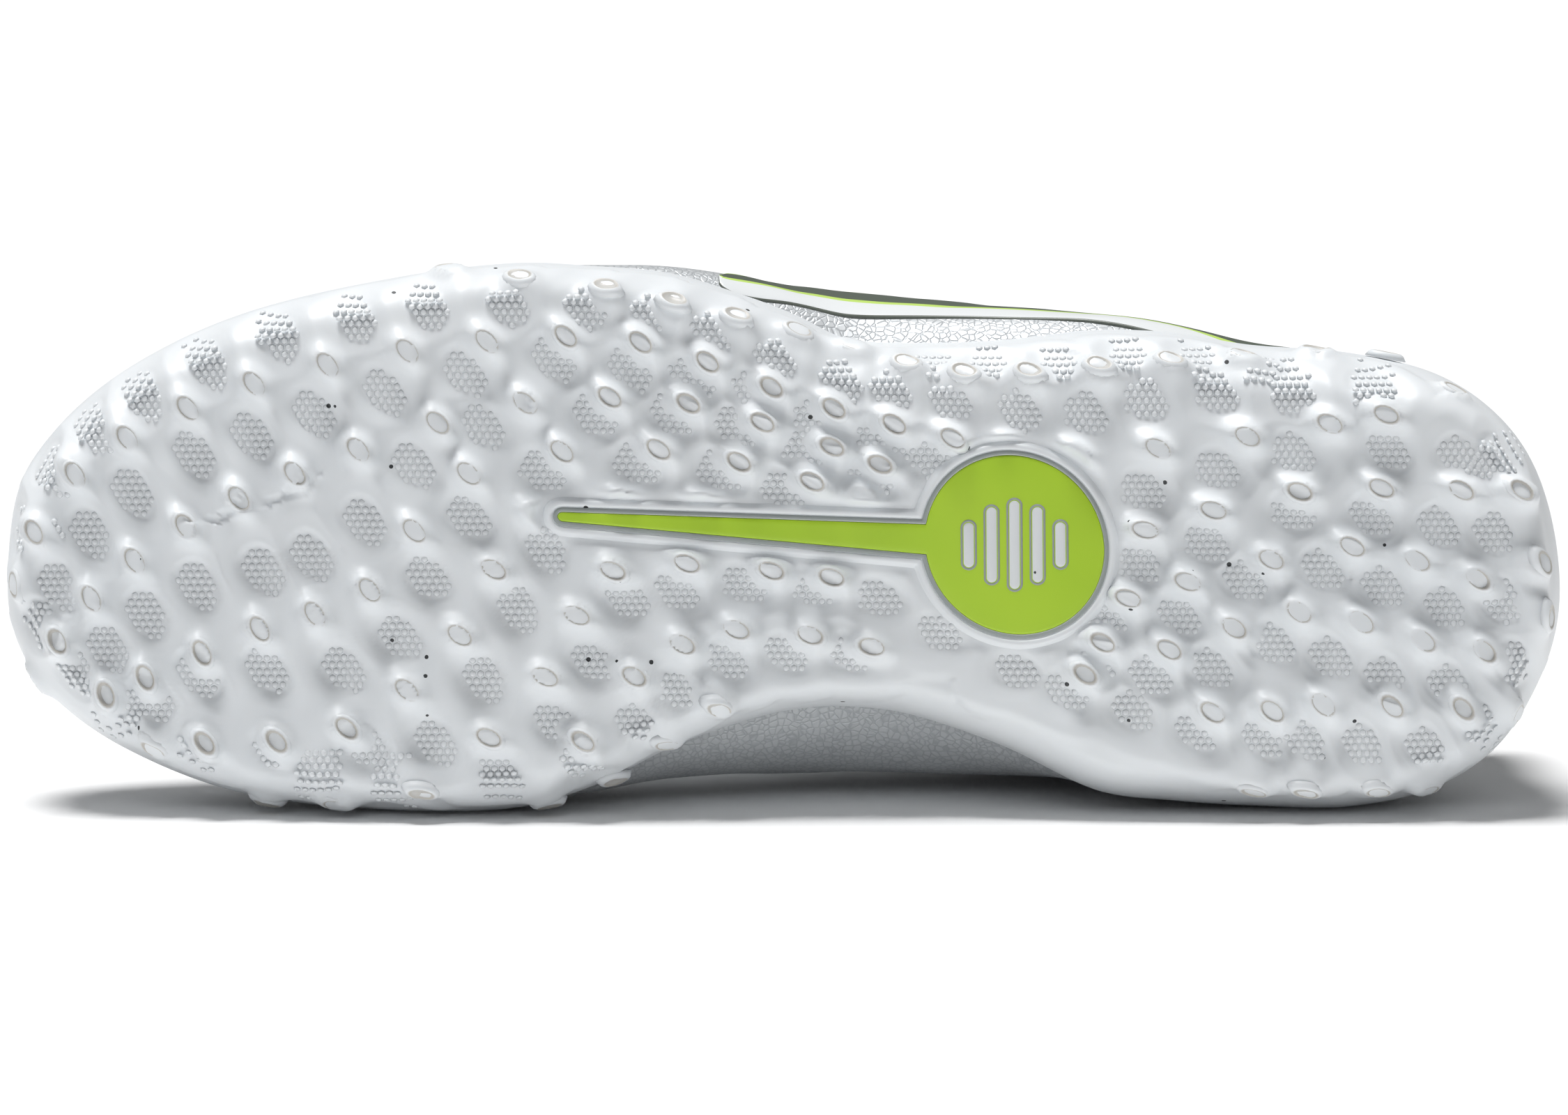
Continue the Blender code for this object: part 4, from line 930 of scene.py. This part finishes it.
def lasted_point(way, rise):
    """Point of the face that lies on the last: rise 0 is at the rim and 1 at the top edge."""
    way, rise = np.broadcast_arrays(np.asarray(way, float), np.asarray(rise, float))
    start = wall_point(way, np.ones(way.shape), CUP_WALL + GAP)
    edge = read_round(TOP_EDGE, way)
    end = raised(plan_point(edge[..., 0], edge[..., 1]), edge[..., 2] * COLLAR_HEIGHT)
    handles = read_round(FULLNESS, way) * BALL_WIDTH
    up = np.array((0, 0, 1.0))
    low = start + outward(way) * handles[..., 0:1] + up * handles[..., 1:2]
    high = end + outward(way) * handles[..., 2:3] - up * handles[..., 3:4]
    share = rise[..., None]
    left = 1 - share
    return left ** 3 * start + 3 * left ** 2 * share * low + 3 * left * share ** 2 * high + share ** 3 * end


def upper_point(way, rise):
    """The lasted face, stretched smooth where it turns from the ball into the waist."""
    way, rise = np.broadcast_arrays(np.asarray(way, float), np.asarray(rise, float))
    near_waist = sum(np.exp(-((np.mod(way, 1.0) - waist) / 0.06) ** 2) for waist in (0.285, 0.715))
    reach = 0.036 * near_waist * soft_step(0.0, 0.3, rise)
    steps = np.linspace(-1, 1, 5)
    return sum(lasted_point(way + reach * step, rise) for step in steps) / len(steps)


def upper_normal(way, rise):
    way, rise = np.broadcast_arrays(np.asarray(way, float), np.asarray(rise, float))
    round_shoe = upper_point(way + 0.004, rise) - upper_point(way - 0.004, rise)
    up = upper_point(way, np.minimum(rise + 0.004, 1.0)) - upper_point(way, np.maximum(rise - 0.004, 0.0))
    normal = np.cross(round_shoe, up)
    return normal / np.linalg.norm(normal, axis=-1, keepdims=True)


def behind_throat(way):
    """1 round the collar, 0 round the throat and the toe."""
    return soft_step(0.27, 0.32, way) * (1 - soft_step(0.68, 0.73, way))


def upper_wall(way, rise):
    """Wall thickness, with the collar's padding behind the throat."""
    padded = soft_step(0.45, 0.8, rise) * (1 - 0.6 * soft_step(0.85, 1.0, rise))
    return UPPER_WALL + COLLAR_PAD * behind_throat(way) * padded


# Share of the rise in which the wall swells out past the cup's lip
RIM_SWELL = 0.12


def upper_faces(way, rise, lift=0.0):
    """Outer point, moved out by lift, and inner point of the wall, which swells over the cup's lip."""
    point, normal = upper_point(way, rise), upper_normal(way, rise)
    wall, swell = upper_wall(way, rise), soft_step(0.0, RIM_SWELL, rise)
    lift = np.asarray(lift) + wall * swell
    return point + normal * lift[..., None], point - normal * (wall * (1 - swell))[..., None]


UPPER_STATIONS = 600
CREASE_DEPTH = 0.45 * MM
COLLAR_SWELL = 0.9 * MM
HAND_WAVES = 0.12 * MM
SEAM_DEPTH = 0.35 * MM
upper_ways = np.arange(UPPER_STATIONS + 1) / UPPER_STATIONS
rises = np.linspace(0, 1, 56)
all_ways, all_rises = np.meshgrid(upper_ways, rises)
outer_face, inner_face = upper_faces(all_ways, all_rises)
outer_normals = upper_normal(all_ways, all_rises)
# Creases where the ball of the foot bends the leather, and the roll of the padded collar
flex = np.exp(-((outer_face[..., 0] / LENGTH + 0.17) / 0.075) ** 2) * soft_step(0.25, 0.5, all_rises)
flex *= 1 - soft_step(0.78, 0.9, all_rises)
wander = np.sin(outer_face[..., 1] * 90) + 0.6 * np.sin(outer_face[..., 1] * 210 + 1.3)
crease = np.abs(np.sin(outer_face[..., 0] * 520 + wander)) ** 0.6 - 0.6
collar_roll = np.exp(-((all_rises - 0.93) / 0.06) ** 2) - 0.6 * np.exp(-((all_rises - 0.80) / 0.02) ** 2)
waves = np.sin(outer_face[..., 0] * 150 + 2.0 * np.sin(outer_face[..., 2] * 160))
waves *= np.sin(outer_face[..., 2] * 190)
lift = -CREASE_DEPTH * flex * crease + COLLAR_SWELL * behind_throat(all_ways) * collar_roll
lift += HAND_WAVES * waves
# A seam goes round the heel counter
COUNTER_SEAM = ((0.33, 0.30), (0.38, 0.52), (0.44, 0.63), (0.50, 0.66), (0.56, 0.63), (0.62, 0.52),
                (0.67, 0.30))
counter = np.array(COUNTER_SEAM)
counter_rise = np.interp(all_ways, counter[:, 0], counter[:, 1], left=-1, right=-1)
lift -= SEAM_DEPTH * np.exp(-((all_rises - counter_rise) / 0.012) ** 2)
outer_face = outer_face + outer_normals * (lift * soft_step(0.0, 0.1, all_rises))[..., None]
crest_out, crest_in = outer_face[-1], inner_face[-1]
crest_middle = (crest_out + crest_in) / 2
crest_width = np.linalg.norm(crest_out - crest_in, axis=-1, keepdims=True)
crest_top = np.array((0, 0, 1)) * crest_width / 2
crest = [crest_middle + (crest_out - crest_middle) * math.cos(turn) + crest_top * math.sin(turn)
         for turn in np.linspace(0, np.pi, 9)[1:-1]]
foot_inset = foam_edge_inset(upper_ways) + GAP
foot_out = floor_point(upper_ways, foot_inset, 0.0, lambda plan: foam_height(plan) + GAP)
foot_in = foot_out - outward(upper_ways) * UPPER_WALL
upper_rows = [foot_out, *outer_face, *crest, *inner_face[::-1], foot_in, foot_out]
upper = wrap_sheet("upper", upper_rows)
lining_from = (1 + len(outer_face) + len(crest) // 2 + 1) * UPPER_STATIONS
lined = np.zeros(len(upper.data.polygons), np.int32)
lined[lining_from:] = 1

leather, leather_shader = add_material("silver-white pebbled leather")
leather_shader.inputs["Metallic"].default_value = 0.25
leather_shader.inputs["Roughness"].default_value = 0.40
leather_shader.inputs["Specular IOR Level"].default_value = 0.5
leather_place = add_node(leather, "ShaderNodeTexCoord").outputs["Object"]
bend = add_node(leather, "ShaderNodeTexNoise", {"Vector": leather_place, "Scale": 160.0, "Detail": 2.0})
bent = add_node(leather, "ShaderNodeMix", {"Factor": 0.002, "A": leather_place, "B": bend.outputs["Color"]},
                data_type='VECTOR')
grain = add_node(leather, "ShaderNodeTexVoronoi", {"Vector": bent.outputs["Result"], "Scale": 780.0},
                 feature='DISTANCE_TO_EDGE')
grain_edge = add_node(leather, "ShaderNodeMapRange", {"Value": grain.outputs["Distance"], "From Max": 0.16})
leather_tint = add_node(leather, "ShaderNodeMix", {"Factor": grain_edge.outputs["Result"],
                                                   "A": linear_colour("#BDC1C4"),
                                                   "B": linear_colour("#D3D6D8")}, data_type='RGBA')
leather.node_tree.links.new(leather_tint.outputs["Result"], leather_shader.inputs["Base Color"])
leather_bump = add_node(leather, "ShaderNodeBump", {"Height": grain_edge.outputs["Result"], "Strength": 0.45,
                                                    "Distance": 0.16 * MM})
leather.node_tree.links.new(leather_bump.outputs["Normal"], leather_shader.inputs["Normal"])

knit = add_celled("pale grey knitted lining", 0.9, 0.25, 620.0, 0.35, "#9EA3A7", "#D5D8DA", 0.6, 0.4 * MM)
finish_piece(upper, leather, "upper", "upper")
upper.data.materials.append(knit)
upper.data.polygons.foreach_set("material_index", lined)
sew(upper, 0.01 * MM, outside=True)


# Side band
# A plain band of printed film, bonded to the outer side of the upper: a fine dark line, white, a
# lime edge, a grey-green core, and lime and white again.
BAND_WAYS = (0.236, 0.395)
BAND_HALF_WIDTH = 8.5 * MM
BAND_SHIFT = -5.0 * MM
band_ways = np.linspace(*BAND_WAYS, 181)
fine_rises = np.linspace(0.0, 0.98, 200)
band_grid_ways, band_grid_rises = np.meshgrid(band_ways, fine_rises)
band_surface = upper_faces(band_grid_ways, band_grid_rises)[0]
band_normals = upper_normal(band_grid_ways, band_grid_rises)
band_ends = np.minimum(band_ways - BAND_WAYS[0], BAND_WAYS[1] - band_ways) / 0.012
band_width = BAND_HALF_WIDTH * np.sqrt(np.clip(1 - (1 - np.clip(band_ends, 0, 1)) ** 2, 0.0015, 1))
band_steps = np.linalg.norm(np.diff(band_surface, axis=0), axis=-1)
band_travels = np.concatenate((np.zeros((1, len(band_ways))), np.cumsum(band_steps, axis=0)))
widest = band_travels[np.argmax(-band_surface[..., 1], axis=0), np.arange(len(band_ways))]
band_middle = np.polyval(np.polyfit(band_ways - band_ways.mean(), widest, 3), band_ways - band_ways.mean())


def close_ends(rows):
    """The rows with their two end columns drawn together at the middle of the end."""
    rows = np.asarray(rows, float)
    first = np.broadcast_to(rows[:, 0].mean(axis=0), rows[:, 0].shape)
    last = np.broadcast_to(rows[:, -1].mean(axis=0), rows[:, -1].shape)
    return np.concatenate((first[:, None], rows, last[:, None]), axis=1)


band_rows, band_shares = [], []
for share, proud in ((-1.0, -0.2), (-0.99, 0.25), (-0.93, 0.35), (-0.8, 0.35), (-0.6, 0.35), (-0.4, 0.35),
                     (-0.2, 0.35), (0.0, 0.35), (0.25, 0.35), (0.5, 0.35), (0.75, 0.35), (0.93, 0.35),
                     (0.99, 0.25), (1.0, -0.2), (0.0, -0.3), (-1.0, -0.2)):
    row = []
    for column in range(len(band_ways)):
        line, travelled = band_surface[:, column], band_travels[:, column]
        at = band_middle[column] + BAND_SHIFT + share * band_width[column]
        point = np.array([np.interp(at, travelled, line[:, axis]) for axis in range(3)])
        normal = np.array([np.interp(at, travelled, band_normals[:, column, axis]) for axis in range(3)])
        row.append(point + normal * proud * MM)
    band_rows.append(row)
    band_shares.append(np.full(len(band_ways) + 2, share))
band = wrap_sheet("side_band", close_ends(band_rows))
add_attribute(band, "across", np.array(band_shares).ravel() * 0.5 + 0.5)
sew(band, 0.001 * MM, outside=True)
film, film_shader = add_material("bonded film band")
film_shader.inputs["Roughness"].default_value = 0.35
across = add_node(film, "ShaderNodeAttribute", attribute_name="across")
band_ramp = add_node(film, "ShaderNodeValToRGB", {"Fac": across.outputs["Fac"]})
band_ramp.color_ramp.interpolation = 'CONSTANT'
band_stops = ((0.0, "#6A7068"), (0.035, "#EEF1F2"), (0.30, "#C8E874"), (0.37, "#5B6459"), (0.76, "#C8E874"),
              (0.86, "#EEF1F2"), (0.97, "#6A7068"))
for number, (stop, code) in enumerate(band_stops):
    if number > 1:
        band_ramp.color_ramp.elements.new(stop)
    band_ramp.color_ramp.elements[number].position = stop
    band_ramp.color_ramp.elements[number].color = linear_colour(code)
film.node_tree.links.new(band_ramp.outputs["Color"], film_shader.inputs["Base Color"])
finish_piece(band, film, "upper")


# Lace facing
# A leather band round the throat, edge-stitched to the upper. Its lace holes are punched, and each
# is bound with a pale moulded ring.
EYESTAY_THICKNESS = 1 * MM
EYELET_PAIRS = 6
EYELET_RISE = 0.90
facing_ways = np.linspace(-0.265, 0.265, 321)
# Rise on the upper and height over it in mm, round the facing's section
facing_profile = ((0.795, -0.2), (0.795, 0.9), (0.80, 1.35), (0.81, 1.6), (0.84, 1.6), (0.87, 1.6),
                  (0.90, 1.6), (0.93, 1.6), (0.96, 1.6), (0.975, 1.55), (0.984, 1.3), (0.988, 0.7),
                  (0.988, -0.2))
facing_rows = []
for rise, proud in facing_profile:
    flat_rise = np.full(len(facing_ways), rise)
    facing_rows.append(upper_faces(facing_ways, flat_rise, proud * MM)[0])
facing = wrap_sheet("lace_facing", close_ends([*facing_rows, facing_rows[0]]))
sew(facing, 0.01 * MM, outside=True)
finish_piece(facing, leather, "eyestay", "eyestay")


def eyelet_way(number):
    """Way round, on the outer side, of a lace hole counted from the toe end."""
    return 0.115 + (0.252 - 0.115) * number / (EYELET_PAIRS - 1)


RING_SEGMENTS = 20
FACING_TOP = 1.6 * MM
ring_turns = np.arange(RING_SEGMENTS) * 2 * np.pi / RING_SEGMENTS
ring_profile = ((1.55, -0.3), (1.55, 0.25), (1.75, 0.42), (2.1, 0.45), (2.45, 0.30), (2.6, -0.05))
ring_corners, ring_faces = [], []
for side in (-1, 1):
    for number in range(EYELET_PAIRS):
        way = np.array(side * eyelet_way(number))
        centre = upper_faces(way, EYELET_RISE, FACING_TOP)[0]
        normal = upper_normal(way, EYELET_RISE)
        along = np.cross(normal, (0, 0, 1.0))
        along /= np.linalg.norm(along)
        beside = np.cross(normal, along)
        start = len(ring_corners)
        for radius, proud in ring_profile:
            for turn in ring_turns:
                ring_corners.append(centre + (along * math.cos(turn) + beside * math.sin(turn)) * radius * MM
                                    + normal * proud * MM)
        for ring in range(len(ring_profile)):
            low = start + ring * RING_SEGMENTS
            high = start + (ring + 1) % len(ring_profile) * RING_SEGMENTS
            for step in range(RING_SEGMENTS):
                after = (step + 1) % RING_SEGMENTS
                ring_faces.append((low + step, high + step, high + after, low + after))
eyelets = add_shell("eyelets", np.array(ring_corners), ring_faces)
binding, binding_shader = add_material("pale moulded eyelet")
binding_shader.inputs["Roughness"].default_value = 0.3
binding_place = add_node(binding, "ShaderNodeTexCoord").outputs["Object"]
binding_noise = add_node(binding, "ShaderNodeTexNoise", {"Vector": binding_place, "Scale": 500.0})
binding_tint = add_node(binding, "ShaderNodeMix", {"Factor": binding_noise.outputs["Fac"],
                                                   "A": linear_colour("#D4D8DA"),
                                                   "B": linear_colour("#E9ECED")}, data_type='RGBA')
binding.node_tree.links.new(binding_tint.outputs["Result"], binding_shader.inputs["Base Color"])
finish_piece(eyelets, binding, "eyestay")


# Tongue
# Foam between two layers of knit, quilted lengthwise. It is sewn in at its toe end, and its rounded
# top stands over the collar.
TONGUE_THICKNESS = 3.5 * MM
TONGUE = (
    (0.290, 0.645, 0.110, 0.015), (0.340, 0.714, 0.150, 0.045), (0.410, 0.834, 0.190, 0.090),
    (0.490, 0.967, 0.215, 0.112), (0.560, 1.070, 0.212, 0.115), (0.650, 1.162, 0.200, 0.080),
)


def throat_across(along):
    """Middle of the throat, as a share of the width."""
    return 0.010 - 0.020 * soft_step(0.5, 0.65, along)


def tongue_top(along, side):
    """Height of the tongue's upper face; side is -1 to 1 across it."""
    line = read_along(TONGUE, along)
    return line[..., 0] * COLLAR_HEIGHT - TONGUE_THICKNESS - line[..., 2] * BALL_WIDTH * side ** 2


tongue_alongs = np.linspace(TONGUE[0][0], TONGUE[-1][0], 90)
tongue_ends = np.clip((TONGUE[-1][0] - tongue_alongs) / 0.055, 0.0, 1.0)
tongue_round = np.sqrt(np.clip(1 - (1 - tongue_ends) ** 2, 0.02, 1.0))
tongue_half = read_along(TONGUE, tongue_alongs)[:, 1] * BALL_WIDTH * tongue_round
tongue_sides = np.sin(np.linspace(-np.pi / 2, np.pi / 2, 37))
tongue_over, tongue_under = [], []
for side in tongue_sides:
    plan = plan_point(tongue_alongs, throat_across(tongue_alongs))
    plan = plan + np.stack((np.zeros(len(plan)), -side * tongue_half), -1)
    height = tongue_top(tongue_alongs, side * tongue_round)
    edge = math.sqrt(max(1 - side ** 8, 0.0))
    quilt = 0.5 * MM * math.exp(-((abs(side) - 0.42) / 0.05) ** 2)
    end_thin = 0.25 + 0.75 * np.sqrt(np.clip(1 - (1 - np.clip(tongue_ends * 2.5, 0, 1)) ** 2, 0, 1))
    half_thick = TONGUE_THICKNESS / 2 * edge * end_thin
    middle = height - TONGUE_THICKNESS / 2
    tongue_over.append(raised(plan, middle + half_thick - quilt))
    tongue_under.append(raised(plan, middle - half_thick))
tongue = wrap_sheet("tongue", close_ends([*tongue_over, *tongue_under[::-1], tongue_over[0]]))
sew(tongue, 0.02 * MM, outside=True)
finish_piece(tongue, knit, "tongue", "tongue")


# Laces
# One flat woven polyester lace, crossed over the tongue above one straight bar at the toe end. It
# comes up through each hole and passes under the other side's facing to the next, and its ends are
# tucked in beside the tongue.
LACE_WIDTH = 6.5 * MM
LACE_THICKNESS = 1.2 * MM
LACE_PLAY = 0.1 * MM
FACING_LIFT = EYESTAY_THICKNESS + 2 * GAP + LACE_PLAY + LACE_THICKNESS / 2
# Shares of half the width and of half the thickness, once round the ribbon
LACE_SECTION = (
    (-1, 0), (-0.93, 0.75), (-0.75, 1), (-0.3, 0.9), (0.3, 0.9), (0.75, 1), (0.93, 0.75), (1, 0),
    (0.93, -0.75), (0.75, -1), (-0.75, -1), (-0.93, -0.75), (-1, 0),
)
# How the lace narrows as it comes up through its hole
HOLE_WIDTHS = (0.30, 0.32, 0.40, 0.62, 0.86, 0.97)
HOLE_DEPTHS = (2.6, 1.9, 0.9)
OVERLAP_LIFT = 0.35 * MM
LACE_ROUNDINGS = 3


def lace_band(points, normals, widths):
    """A flat ribbon with round edges along the points; widths are shares of the lace's."""
    run = np.gradient(points, axis=0)
    side = np.cross(run, normals)
    side /= np.linalg.norm(side, axis=-1, keepdims=True)
    over = np.cross(side, run)
    over /= np.linalg.norm(over, axis=-1, keepdims=True)
    rows = []
    for across, height in LACE_SECTION:
        rows.append(points + side * (across * LACE_WIDTH / 2 * widths)[:, None]
                    + over * height * LACE_THICKNESS / 2)
    return close_ends(rows)


def lace_bar(side, start_way, end_way, over, tucked=False):
    """Ribbon of one visible run, from a hole to under the other facing or, tucked, beside the tongue."""
    near_ways = side * (start_way + (end_way - start_way) * np.linspace(0, 0.2, 9))
    near_rises = np.linspace(EYELET_RISE, 0.995, 9)
    lifts = FACING_LIFT + np.zeros(9) + OVERLAP_LIFT * over
    near = upper_faces(near_ways, near_rises, lifts)[0]
    near_normals = upper_normal(near_ways, near_rises)
    dive = near[0] - near_normals[0] * np.array(HOLE_DEPTHS)[:, None] * MM
    far_ways = -side * (start_way + (end_way - start_way) * np.linspace(0.8, 0.9, 4))
    far_rises = np.linspace(0.985, 0.93, 4)
    far = upper_faces(far_ways, far_rises, -UPPER_WALL - 0.35 * MM - LACE_THICKNESS / 2)[0]
    far_normals = upper_normal(far_ways, far_rises)
    if tucked:
        drop = np.array((0.3, 0.0, -1.2, -3.6, -6.5)) * MM
        aside = (far[0] - near[-1]) * (1, 1, 0)
        aside /= np.linalg.norm(aside)
        inner = near[-1] + aside * np.array((1.0, 2.2, 3.0, 3.2, 3.2))[:, None] * MM
        inner[:, 2] += drop
        points = np.concatenate((dive, near, inner))
        last = np.tile(near_normals[-1] * 0.3 + aside, (5, 1))
        normals = np.concatenate((np.tile(near_normals[0], (3, 1)), near_normals, last))
    else:
        share = np.linspace(0, 1, 19)[1:-1, None]
        bridge = near[-1] * (1 - share) + far[0] * share
        crossing = np.exp(-((share[:, 0] - 0.5) / 0.16) ** 2)
        bridge[:, 2] += (0.3 * MM + (LACE_THICKNESS + 0.25 * MM) * over) * crossing
        along = bridge[:, 0] / LENGTH + 0.5
        middle = throat_across(along) * -BALL_WIDTH
        half = read_along(TONGUE, along)[:, 1] * BALL_WIDTH
        rest = tongue_top(along, (bridge[:, 1] - middle) / half) + LACE_THICKNESS / 2 + 0.15 * MM
        rest += (LACE_THICKNESS + 0.2 * MM) * over * crossing
        bridge[:, 2] = np.maximum(bridge[:, 2], rest)
        bridge_normals = near_normals[-1] * (1 - share) + far_normals[0] * share
        points = np.concatenate((dive, near, bridge, far))
        normals = np.concatenate((np.tile(near_normals[0], (3, 1)), near_normals, bridge_normals,
                                  far_normals))
    widths = np.ones(len(points))
    widths[:len(HOLE_WIDTHS)] = HOLE_WIDTHS
    for _ in range(LACE_ROUNDINGS):
        points[3:-1] = (points[2:-2] + 2 * points[3:-1] + points[4:]) / 4
    return lace_band(points, normals / np.linalg.norm(normals, axis=-1, keepdims=True), widths)


# The first run is straight, and starts a little nearer to the toe than the crossing beside it
STRAIGHT_SHIFT = 0.002
lace_pieces = []
for number in range(EYELET_PAIRS - 1):
    for side, over in ((1, number % 2), (-1, 1 - number % 2)):
        rows = lace_bar(side, eyelet_way(number), eyelet_way(number + 1), over)
        lace_pieces.append(wrap_sheet("lace_run", rows))
lace_pieces.append(wrap_sheet("lace_run", lace_bar(1, eyelet_way(0) - STRAIGHT_SHIFT, eyelet_way(0), 0)))
top_hole = eyelet_way(EYELET_PAIRS - 1)
for side in (1, -1):
    lace_pieces.append(wrap_sheet("lace_run", lace_bar(side, top_hole, top_hole, 0, tucked=True)))
bpy.ops.object.select_all(action='DESELECT')
for run in lace_pieces:
    run.select_set(True)
bpy.context.view_layer.objects.active = lace_pieces[0]
bpy.ops.object.join()
laces = bpy.context.object
laces.name = "laces"
laces.data.name = "laces"
sew(laces, 0.01 * MM, outside=True)
weave = add_celled("white woven polyester", 0.75, 0.35, 950.0, 0.5, "#F2F4F3", "#C9CDCB", 0.6, 0.3 * MM)
finish_piece(laces, weave, "laces", "laces")


# Stitches
# White bonded thread: two rows along the facing's outer edge, one round the heel counter and one
# under the padded collar.
STITCH_LENGTH = 2.0 * MM
STITCH_PITCH = 2.7 * MM
THREAD_WIDTH = 0.62 * MM
THREAD_RISE = 0.42 * MM


def stitch_row(way_from, way_to, rise_at, proud, samples=500):
    """Places, run directions and normals of stitches along a line on the upper."""
    line_ways = np.linspace(way_from, way_to, samples)
    line_rises = rise_at(line_ways)
    line = upper_faces(line_ways, line_rises, proud)[0]
    travelled = np.concatenate(([0], np.cumsum(np.linalg.norm(np.diff(line, axis=0), axis=-1))))
    at = np.arange(STITCH_PITCH, travelled[-1] - STITCH_PITCH, STITCH_PITCH)
    found_ways = np.interp(at, travelled, line_ways)
    here = upper_faces(found_ways, rise_at(found_ways), proud)[0]
    ahead = np.stack([np.interp(at + 0.5 * MM, travelled, line[:, axis]) for axis in range(3)], -1)
    run = ahead - here
    run /= np.linalg.norm(run, axis=-1, keepdims=True)
    return here, run, upper_normal(found_ways, rise_at(found_ways))


stitch_lines = (
    stitch_row(-0.258, 0.258, lambda way: np.full(way.shape, 0.818), 1.62 * MM),
    stitch_row(-0.258, 0.258, lambda way: np.full(way.shape, 0.970), 1.60 * MM),
    stitch_row(0.335, 0.665, lambda way: np.interp(way, counter[:, 0], counter[:, 1]) + 0.022, 0.05 * MM),
    stitch_row(0.335, 0.665, lambda way: np.interp(way, counter[:, 0], counter[:, 1]) - 0.022, 0.05 * MM),
    stitch_row(0.285, 0.715, lambda way: np.full(way.shape, 0.80), -0.10 * MM),
)
thread_shape = ((-0.5, -0.5, -0.4), (-0.5, 0.5, -0.4), (-0.32, 0.5, 0.75), (-0.32, -0.5, 0.75),
                (0.5, -0.5, -0.4), (0.5, 0.5, -0.4), (0.32, 0.5, 0.75), (0.32, -0.5, 0.75))
thread_faces = ((0, 1, 2, 3), (3, 2, 6, 7), (7, 6, 5, 4), (0, 3, 7, 4), (1, 5, 6, 2), (0, 4, 5, 1))
thread_corners = []
for here, run, normal in stitch_lines:
    beside = np.cross(normal, run)
    shape = np.array(thread_shape)
    thread_corners.append((here[:, None] + run[:, None] * shape[None, :, :1] * STITCH_LENGTH
                           + beside[:, None] * shape[None, :, 1:2] * THREAD_WIDTH
                           + normal[:, None] * shape[None, :, 2:] * THREAD_RISE).reshape(-1, 3))
thread_corners = np.concatenate(thread_corners)
stitch_faces = [tuple(8 * number + corner for corner in face_corners)
                for number in range(len(thread_corners) // 8) for face_corners in thread_faces]
stitches = add_shell("stitches", thread_corners, stitch_faces)
sew(stitches, 0.001 * MM, outside=True)
finish_piece(stitches, weave, "upper")
